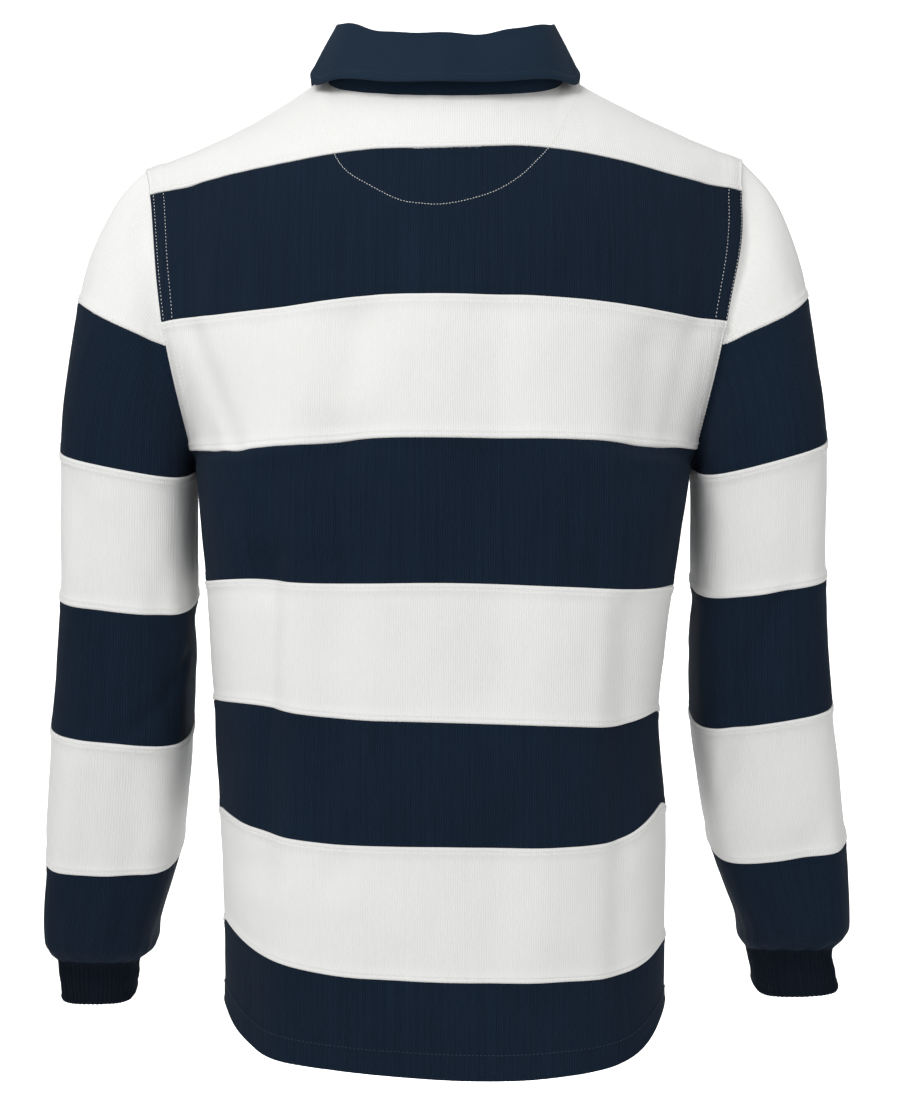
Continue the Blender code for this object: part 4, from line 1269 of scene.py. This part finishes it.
def resampled(line, pitch):
    """Points at even distances along a line, with the line's direction there."""
    run = lengths(line[:, None], 0)[:, 0]
    count = max(int(run[-1] / pitch), 1)
    at = (np.arange(count) + 0.5) * run[-1] / count
    ahead = on_line(at + pitch / 4, run, line) - on_line(at - pitch / 4, run, line)
    return on_line(at, run, line), unit(ahead), at, run


print("stitches in 10 cm:", round(0.1 / STITCH_PITCH))

# %% Sewing with one thread
STITCHED = []


class Sewing:
    """Lines of stitches of one thread, made into one mesh at the end."""

    def __init__(self, name, thread, slot):
        self.name, self.thread, self.slot = name, thread, slot
        self.points, self.count = [], 0

    def along(self, line, normals, pitch=STITCH_PITCH, long=0.0019, wide=0.00055, high=0.00036):
        points, ahead, at, run = resampled(line, pitch)
        up = unit(on_line(at, run, normals))
        side = unit(np.cross(up, ahead))
        number = np.arange(len(points)) + self.count
        off = side * (0.00012 * np.sin(number * 2.4))[:, None]
        size = long * (1 + 0.10 * np.sin(number * 1.7))[:, None]
        for cut in BEAD:
            centre = points + off + ahead * size * cut.along + up * high * cut.up
            across, over = side * wide / 2 * cut.size, up * high * cut.size
            corners = [centre + across, centre + over, centre - across, centre - over]
            self.points.append(np.stack(corners, axis=1))
        self.count += len(points)

    def on(self, grid, where, **look):
        """Stitches along the points of a grid that where picks."""
        self.along(grid[0][where], grid[1][where], **look)

    def finish(self):
        cuts = len(BEAD)
        groups = [np.stack(self.points[i:i + cuts], axis=1) for i in range(0, len(self.points), cuts)]
        verts = np.concatenate(groups).reshape(-1, 3)
        faces = [[3, 2, 1, 0], [4 * cuts - 4, 4 * cuts - 3, 4 * cuts - 2, 4 * cuts - 1]]
        for c in range(cuts - 1):
            for k in range(4):
                m = (k + 1) % 4
                faces.append([4 * c + k, 4 * c + m, 4 * c + 4 + m, 4 * c + 4 + k])
        base = np.arange(self.count)[:, None, None] * 4 * cuts
        mesh = bpy.data.meshes.new(self.name)
        mesh.from_pydata(verts.tolist(), [], (np.array(faces)[None] + base).reshape(-1, 4).tolist())
        mesh.shade_smooth()
        mesh.materials.append(self.thread)
        STITCHED.append((placed(self.name, mesh), self.slot))
        print(self.name, self.count, "stitches")


print("corners of a stitch:", 4 * len(BEAD))

# %% Sew the stripes: a line along each edge of every white one
NEEDLE_ROW = 6
SHOULDER_ROW = 7
SLIT_CLEAR = 6
white_sewing = Sewing("stitches_stripes", WHITE_THREAD, "white_jersey")
for name, grid in DRESSED.items():
    if "_white" not in name:
        continue
    rows, columns = grid[0].shape[:2]
    low = rows - 1 - NEEDLE_ROW
    for r in [low] if "_1_white" in name else [NEEDLE_ROW, low]:
        order = list(range(columns))
        if name.startswith("sleeve") and "_1_" not in name:
            order.append(0)
        lines = [order]
        if name.startswith("front_3") and r == NEEDLE_ROW:
            middle = len(order) // 2
            lines = [order[:middle - SLIT_CLEAR], order[middle + SLIT_CLEAR:]]
        for line in lines:
            white_sewing.on(grid, (r, line))
for line in (WHOLE >= NECK_U, WHOLE <= -NECK_U):
    white_sewing.on(DRESSED["back_1_white_cloth"], (SHOULDER_ROW, line))
white_sewing.finish()

# %% Sew the armholes with two needles, in their furrows. Left columns are counted from the end.
ARM_SEWN = {"back": (2, 9, -10, -5), "front": (4, 9, -10, -5)}
arm_sewing = Sewing("stitches_armholes", WHITE_THREAD, "white_jersey")
for face in ("back", "front"):
    for k in range(3):
        halves = ("_left", "_right") if face == "front" and k < 2 else ("",)
        for half in halves:
            grid = DRESSED[f"{face}_{numbered(k)}{half}_cloth"]
            rows = slice(2, -2) if k < 2 else slice(2, 34)
            for j in ARM_SEWN[face]:
                if half != ("_right" if j < 0 else "_left"):
                    arm_sewing.on(grid, (rows, j), long=0.0016, wide=0.00048)
arm_sewing.finish()

# %% [markdown]
# ## The half-moon at the back neck
# Inside the back neck a second layer of jersey takes the rub of the collar. Outside only its line of
# fine stitches shows: a wide half-circle. The line is drawn flat and then laid on the cloth by casting
# it forward on to the back.

# %% Sew the half-moon
HALF_MOON = [
    (100.1, -20.3), (95.2, -44.5), (89.6, -63.1), (84, -78.4), (74.3, -92.4), (58.5, -103.2),
    (36, -115.6), (17.9, -119.2), (1.2, -119.7), (-17.8, -116), (-38.4, -108.6), (-56.2, -96.9),
    (-69.8, -83), (-79, -71.9), (-86, -60), (-96.5, -37.7), (-108, -13.6),
]


def laid_on_back(line, pieces):
    """Points and normals where a line in (x, z) meets the back."""
    trees = [BVHTree.FromObject(bpy.data.objects[p], bpy.context.evaluated_depsgraph_get()) for p in pieces]
    points, normals = [], []
    for x, z in line:
        hits = [t.ray_cast(Vector((x, 0.5, z)), Vector((0, -1, 0))) for t in trees]
        hits = [h for h in hits if h[0] is not None]
        if hits:
            spot = max(hits, key=lambda h: h[0].y)
            points.append(spot[0])
            normals.append(spot[1] if spot[1].y > 0 else -spot[1])
    return np.array(points), np.array(normals)


knots = np.arange(len(HALF_MOON))
fine = through(knots, np.array(HALF_MOON) / 1000, np.linspace(0, knots[-1], 240))
moon_points, moon_normals = laid_on_back(fine, ["back_1_white_cloth", "back_2_navy_cloth"])
moon = Sewing("stitches_half_moon", WHITE_THREAD, "white_jersey")
moon.along(moon_points, moon_normals, pitch=0.0023, long=0.0015, wide=0.00055)
moon.finish()

# %% Sew hem, collar and placket in navy
navy_sewing = Sewing("stitches_navy", NAVY_THREAD, "navy_twill")
HEM_ROW = int(np.argmin(np.abs(BAND_T - (1 - HEM_NEEDLE / HEM_STRIPE))))
for face in ("back", "front"):
    navy_sewing.on(DRESSED[f"{face}_8_navy_cloth"], HEM_ROW)
points, normals, down = fall_grid
inner = range(1, len(TURN) - 1)
line = [on_line(FALL_NEEDLE, down[::-1, j], points[::-1, j]) for j in inner]
low = np.argmin(np.abs(down[:, len(TURN) // 2] - FALL_NEEDLE))
navy_sewing.along(np.array(line), normals[low, 1:-1])
for end in (2, -3):
    navy_sewing.on(fall_grid, np.s_[24:low + 1, end])
for column in (3, -4):
    navy_sewing.on(placket_grid, np.s_[:, column])
for r in (-3, -12):
    navy_sewing.on(placket_grid, np.s_[r, 3:-3])
navy_sewing.finish()

# %% Button threads
button_sewing = Sewing("stitches_buttons", WHITE_THREAD, "white_rubber")
for v in BUTTON_VS:
    spot, way = button_seat(v)
    spot = spot + way * (BUTTON_THICK - THREAD_SUNK)
    across = unit(np.cross(way, UP))
    up = np.cross(across, way)
    reach = HOLE_OFF * math.sqrt(0.5)
    for side in (-reach, reach):
        ends = np.array([spot + across * side - up * reach, spot + across * side + up * reach])
        ways = np.array([way, way])
        button_sewing.along(ends, ways, pitch=0.01, long=2.2 * reach, wide=0.0007, high=0.0004)
button_sewing.finish()

# %% [markdown]
# ## Finishes: jersey
# Cotton jersey is knitted: each loop is a small V, and the loops stand in upright columns, the wales.
# In heavy rugby jersey the wales are about 1.7 mm apart, so they show from a step away as fine upright
# lines. The cotton is dry and matt, with short fibres that catch light at a grazing angle, which the
# sheen gives. The dye takes unevenly from yarn to yarn, so single wales are a little lighter or darker.
# The grooves between the wales are painted darker as well: that is painted shade in the knit's hollows.

# %% Helpers for patterns
def maths(material, operation, *values):
    """What a Math node gives for its values, each a number or another node's output."""
    return add_node(material, "ShaderNodeMath", dict(enumerate(values)), operation=operation).outputs[0]


def noise(material, vector, scale, detail=2.0):
    inputs = {"Vector": vector, "Scale": scale, "Detail": detail}
    return add_node(material, "ShaderNodeTexNoise", inputs).outputs["Fac"]


def finished(material, colour, groove_shade_colour, tone_and_groove_shade, height, depth, shader_inputs):
    """Mix by tone; the second colour is painted groove shade. Height makes bumps of a depth in metres."""
    colours = {0: tone_and_groove_shade, 6: linear(groove_shade_colour), 7: linear(colour)}
    mix = add_node(material, "ShaderNodeMix", colours, data_type="RGBA")
    bump = add_node(material, "ShaderNodeBump", {"Height": height, "Distance": depth, "Strength": 1.0})
    shade(material, {"Base Color": mix.outputs[2], "Normal": bump.outputs["Normal"], **shader_inputs})


# %% Knit pattern on the cloth's own UV map
WALE = 0.00175
COURSE = 0.0014


def knit(material, colour, groove_shade_colour, depth, wale=WALE, streak=0.5, dry=0.05):
    """Wales, loops and uneven yarn, in metres on the cloth; the grooves between wales get painted shade."""
    uv = add_node(material, "ShaderNodeUVMap", {}, uv_map="cloth").outputs["UV"]
    place = add_node(material, "ShaderNodeSeparateXYZ", {"Vector": uv})
    bent = maths(material, "MULTIPLY_ADD", noise(material, uv, 22.0), 0.0035, place.outputs["X"])
    column = maths(material, "COSINE", maths(material, "MULTIPLY", bent, 2 * math.pi / wale))
    down = maths(material, "MULTIPLY", place.outputs["Y"], 2 * math.pi / COURSE)
    loop = maths(material, "SINE", maths(material, "MULTIPLY_ADD", column, 2.2, down))
    height = maths(material, "MULTIPLY_ADD", loop, 0.3, column)
    stretched = add_node(material, "ShaderNodeMapping", {"Vector": uv, "Scale": (420.0, 9.0, 1.0)})
    yarn = noise(material, stretched.outputs["Vector"], 1.0, 3.0)
    fuzz, cloudy = noise(material, uv, 900.0), noise(material, uv, 9.0, 3.0)
    # The wales set the tone: their grooves take the darker colour, which is painted shade. The yarn noises
    # below add the cloth's own uneven tone.
    tone_and_groove_shade = maths(material, "MULTIPLY_ADD", column, 0.22, 0.5)
    for source, strength in ((yarn, streak), (cloudy, 0.30), (fuzz, 0.25)):
        tone_and_groove_shade = maths(material, "MULTIPLY_ADD", maths(material, "SUBTRACT", source, 0.5), strength * 2, tone_and_groove_shade)
    rough = maths(material, "MULTIPLY_ADD", fuzz, 0.9, height)
    finished(material, colour, groove_shade_colour, tone_and_groove_shade, rough, depth, {
        "Roughness": 0.92, "Specular IOR Level": 4 * dry, "Sheen Weight": dry, "Sheen Roughness": 0.5})


# The second colour of each knit is painted shade for the grooves between the wales.
knit(WHITE, "#f2f2f0", "#ebebe9", 0.00009, streak=0.2)
knit(NAVY, "#1b293a", "#121d2b", 0.00018, dry=0.015)
knit(RIB, "#161f2c", "#0d131c", 0.00012, wale=0.0016, streak=0.6, dry=0.015)
print("knit wales per 10 cm:", round(0.1 / WALE))

# %% [markdown]
# ## Finishes: twill, rubber and thread
# Twill is woven: each weft thread steps over the warp one thread further than the last, which draws
# fine slanting lines. The real lines are about 0.6 mm apart and wouldn't show, so they are drawn 1.5 mm
# apart and faint. The rubber is smooth but not glossy, and the thread is polyester with a slight shine.

# %% Twill lines
TWILL_LINE = 0.0015
uv = add_node(TWILL, "ShaderNodeUVMap", {}, uv_map="cloth").outputs["UV"]
slanted = add_node(TWILL, "ShaderNodeMapping", {"Vector": uv, "Rotation": (0, 0, math.radians(52))})
lines = add_node(TWILL, "ShaderNodeTexWave", {
    "Vector": slanted.outputs["Vector"], "Scale": 0.3142 / TWILL_LINE, "Distortion": 0.6, "Detail": 1.0,
    "Detail Scale": 1.5}).outputs["Fac"]
# The twill lines' grooves take the darker second colour below, which is painted shade; the noise adds the
# cloth's own uneven tone.
tone_and_groove_shade = maths(TWILL, "MULTIPLY_ADD", lines, 0.3, noise(TWILL, uv, 14.0, 4.0))
height = maths(TWILL, "MULTIPLY_ADD", noise(TWILL, uv, 1100.0, 1.0), 0.8, lines)
finished(TWILL, "#182b3d", "#111f2e", tone_and_groove_shade, height, 0.00012, {
    "Roughness": 0.8, "Specular IOR Level": 0.12, "Sheen Weight": 0.02})
print("twill lines per 10 cm:", round(0.1 / TWILL_LINE))

# %% Rubber and thread
place = add_node(RUBBER, "ShaderNodeTexCoord", {}).outputs["Object"]
specks = noise(RUBBER, place, 700.0, 3.0)
worn = add_node(RUBBER, "ShaderNodeMapRange", {"Value": specks, "To Min": 0.42, "To Max": 0.6})
shade(RUBBER, {"Roughness": worn.outputs["Result"]})
for thread in (WHITE_THREAD, NAVY_THREAD):
    place = add_node(thread, "ShaderNodeTexCoord", {}).outputs["Object"]
    twist = noise(thread, place, 2500.0)
    bump = add_node(thread, "ShaderNodeBump", {"Height": twist, "Distance": 0.00005})
    shade(thread, {"Normal": bump.outputs["Normal"], "Roughness": 0.55})
print("finishes done")

# %% [markdown]
# ## How each piece was cut
# Before it was sewn, each piece lay flat on the cutting table. The table gives the width and length it
# was cut to and its flat area, in metres, with 8 mm at each seam that is now turned under. The stripes
# hang one from the other, all of them from the shoulder seams, and a sleeve's last stripe is gathered
# into its cuff.

# %% Flat sizes: width and length in millimetres, area in square centimetres
FLATS = {
    "back_1_white": (595, 125, 440), "back_2_navy": (515, 135, 660), "back_3_white": (510, 125, 580),
    "back_4_navy": (575, 130, 680), "back_5_white": (555, 118, 620), "back_6_navy": (540, 105, 540),
    "back_7_white": (545, 118, 600), "back_8_navy": (550, 105, 460),
    "front_1_white_left": (205, 135, 220),
    "front_1_white_right": (205, 135, 220), "front_2_navy_left": (255, 120, 290),
    "front_2_navy_right": (255, 120, 290),
    "front_3_white": (505, 120, 550), "front_4_navy": (575, 130, 660), "front_5_white": (555, 120, 620),
    "front_6_navy": (530, 105, 540), "front_7_white": (530, 115, 580), "front_8_navy": (530, 100, 440),
    "collar_stand": (560, 52, 250), "collar_fall": (640, 78, 360), "placket_outer": (37, 208, 77),
    "placket_under": (32, 204, 65),
}
ARM_FLATS = {
    "sleeve_{}_1_white": (230, 150, 220), "sleeve_{}_2_navy": (410, 125, 370),
    "sleeve_{}_3_white": (400, 126, 480),
    "sleeve_{}_4_navy": (390, 122, 450), "sleeve_{}_5_white": (380, 126, 460),
    "sleeve_{}_6_navy": (350, 120, 380),
    "cuff_{}": (225, 48, 108),
}
HELD = {"collar_fall": "folded", "sleeve_left_6_navy": "gathered", "sleeve_right_6_navy": "gathered"}
HANGS_FROM = {
    "back_1_white": ["front_1_white_left", "front_1_white_right"],
    "front_3_white": ["front_2_navy_left", "front_2_navy_right"],
    "collar_stand": ["back_1_white"], "collar_fall": ["collar_stand"],
    "placket_outer": ["front_2_navy_left"], "placket_under": ["front_2_navy_right"],
}
for side in ("left", "right"):
    FLATS.update({name.format(side): flat for name, flat in ARM_FLATS.items()})
    HANGS_FROM[f"front_1_white_{side}"] = ["back_1_white"]
    HANGS_FROM[f"sleeve_{side}_1_white"] = [f"front_1_white_{side}", "back_1_white"]
    HANGS_FROM[f"cuff_{side}"] = [f"sleeve_{side}_6_navy"]


print("pieces of cloth:", len(FLATS))


# %% Go through each piece's flat size, hold and the pieces it hangs from; nothing is kept
def hangs_from(node):
    """The pieces that hold a piece up: those in the table, or else the stripe above it."""
    if node in HANGS_FROM:
        return HANGS_FROM[node]
    k = int(next(word for word in node.split("_") if word.isdigit())) - 1
    return [node.replace(numbered(k), numbered(k - 1))]


for node, (width, length, area) in FLATS.items():
    tuple(mm(width, length))
    HELD.get(node, "hung")
    [name + "_cloth" for name in hangs_from(node)]
print("cloth in all:", round(sum(flat[2] for flat in FLATS.values()) / 10000, 3), "square metres")

# %% [markdown]
# ## Floor and light
# A pale floor that curves up behind the shirt, and large soft lamps: the main one stands high, on the
# side of the shirt's left sleeve, a weak one fills the shade, and a strong one lights only the
# backdrop, which throws enough light back on the shirt's front.

# %% Floor
FLOOR_Z = -1.45
floor_mesh = bpy.data.meshes.new("floor")
bend = np.linspace(0.1, math.pi / 2, 12)
run = [(6.0, FLOOR_Z), (-3.0, FLOOR_Z)]
run += [(-3.0 - 1.5 * math.sin(t), FLOOR_Z + 1.5 * (1 - math.cos(t))) for t in bend]
run += [(-4.5, 5.0)]
line = [(x, y, z) for x in (-7.0, 7.0) for y, z in run]
half = len(run)
floor_mesh.from_pydata(line, [], [(i, i + 1, half + i + 1, half + i) for i in range(half - 1)])
floor_mesh.shade_smooth()
floor_mesh.materials.append(plain("pale matt floor", "#fbfbfb"))
placed("floor", floor_mesh)


# %% Lamps
def lamp(name, place, target, size, power):
    data = bpy.data.lights.new(name, "AREA")
    data.shape = "DISK"
    data.size = size
    data.energy = power
    made = placed(name, data)
    made.location = place
    way = Vector(target) - Vector(place)
    made.rotation_euler = way.to_track_quat("-Z", "Y").to_euler()
    return made


MIDDLE = (0.0, 0.0, -0.35)
lamp("main", (0.75, 1.5, 1.25), (0.0, 0.0, -0.15), 1.2, 24.5)
lamp("fill", (-0.5, 2.6, -0.1), MIDDLE, 2.4, 6)
backdrop = lamp("backdrop", (0.0, -1.9, 0.5), (0.0, -4.5, -1.2), 2.6, 105)
backdrop.visible_camera = False
world = bpy.data.worlds.new("studio")
world.use_nodes = True
world.node_tree.nodes["Background"].inputs["Color"].default_value = (1, 1, 1, 1)
world.node_tree.nodes["Background"].inputs["Strength"].default_value = 0.53
bpy.context.scene.world = world
print("lamps and floor in place")

# %% Sizes and finish
for name, piece in list(bpy.data.objects.items()):
    if name.endswith(("_cloth", "_turned")):
        node = name.rsplit("_", 1)[0]
        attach(piece, "root")
        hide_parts(node)
for piece, slot in STITCHED:
    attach(piece, "root")
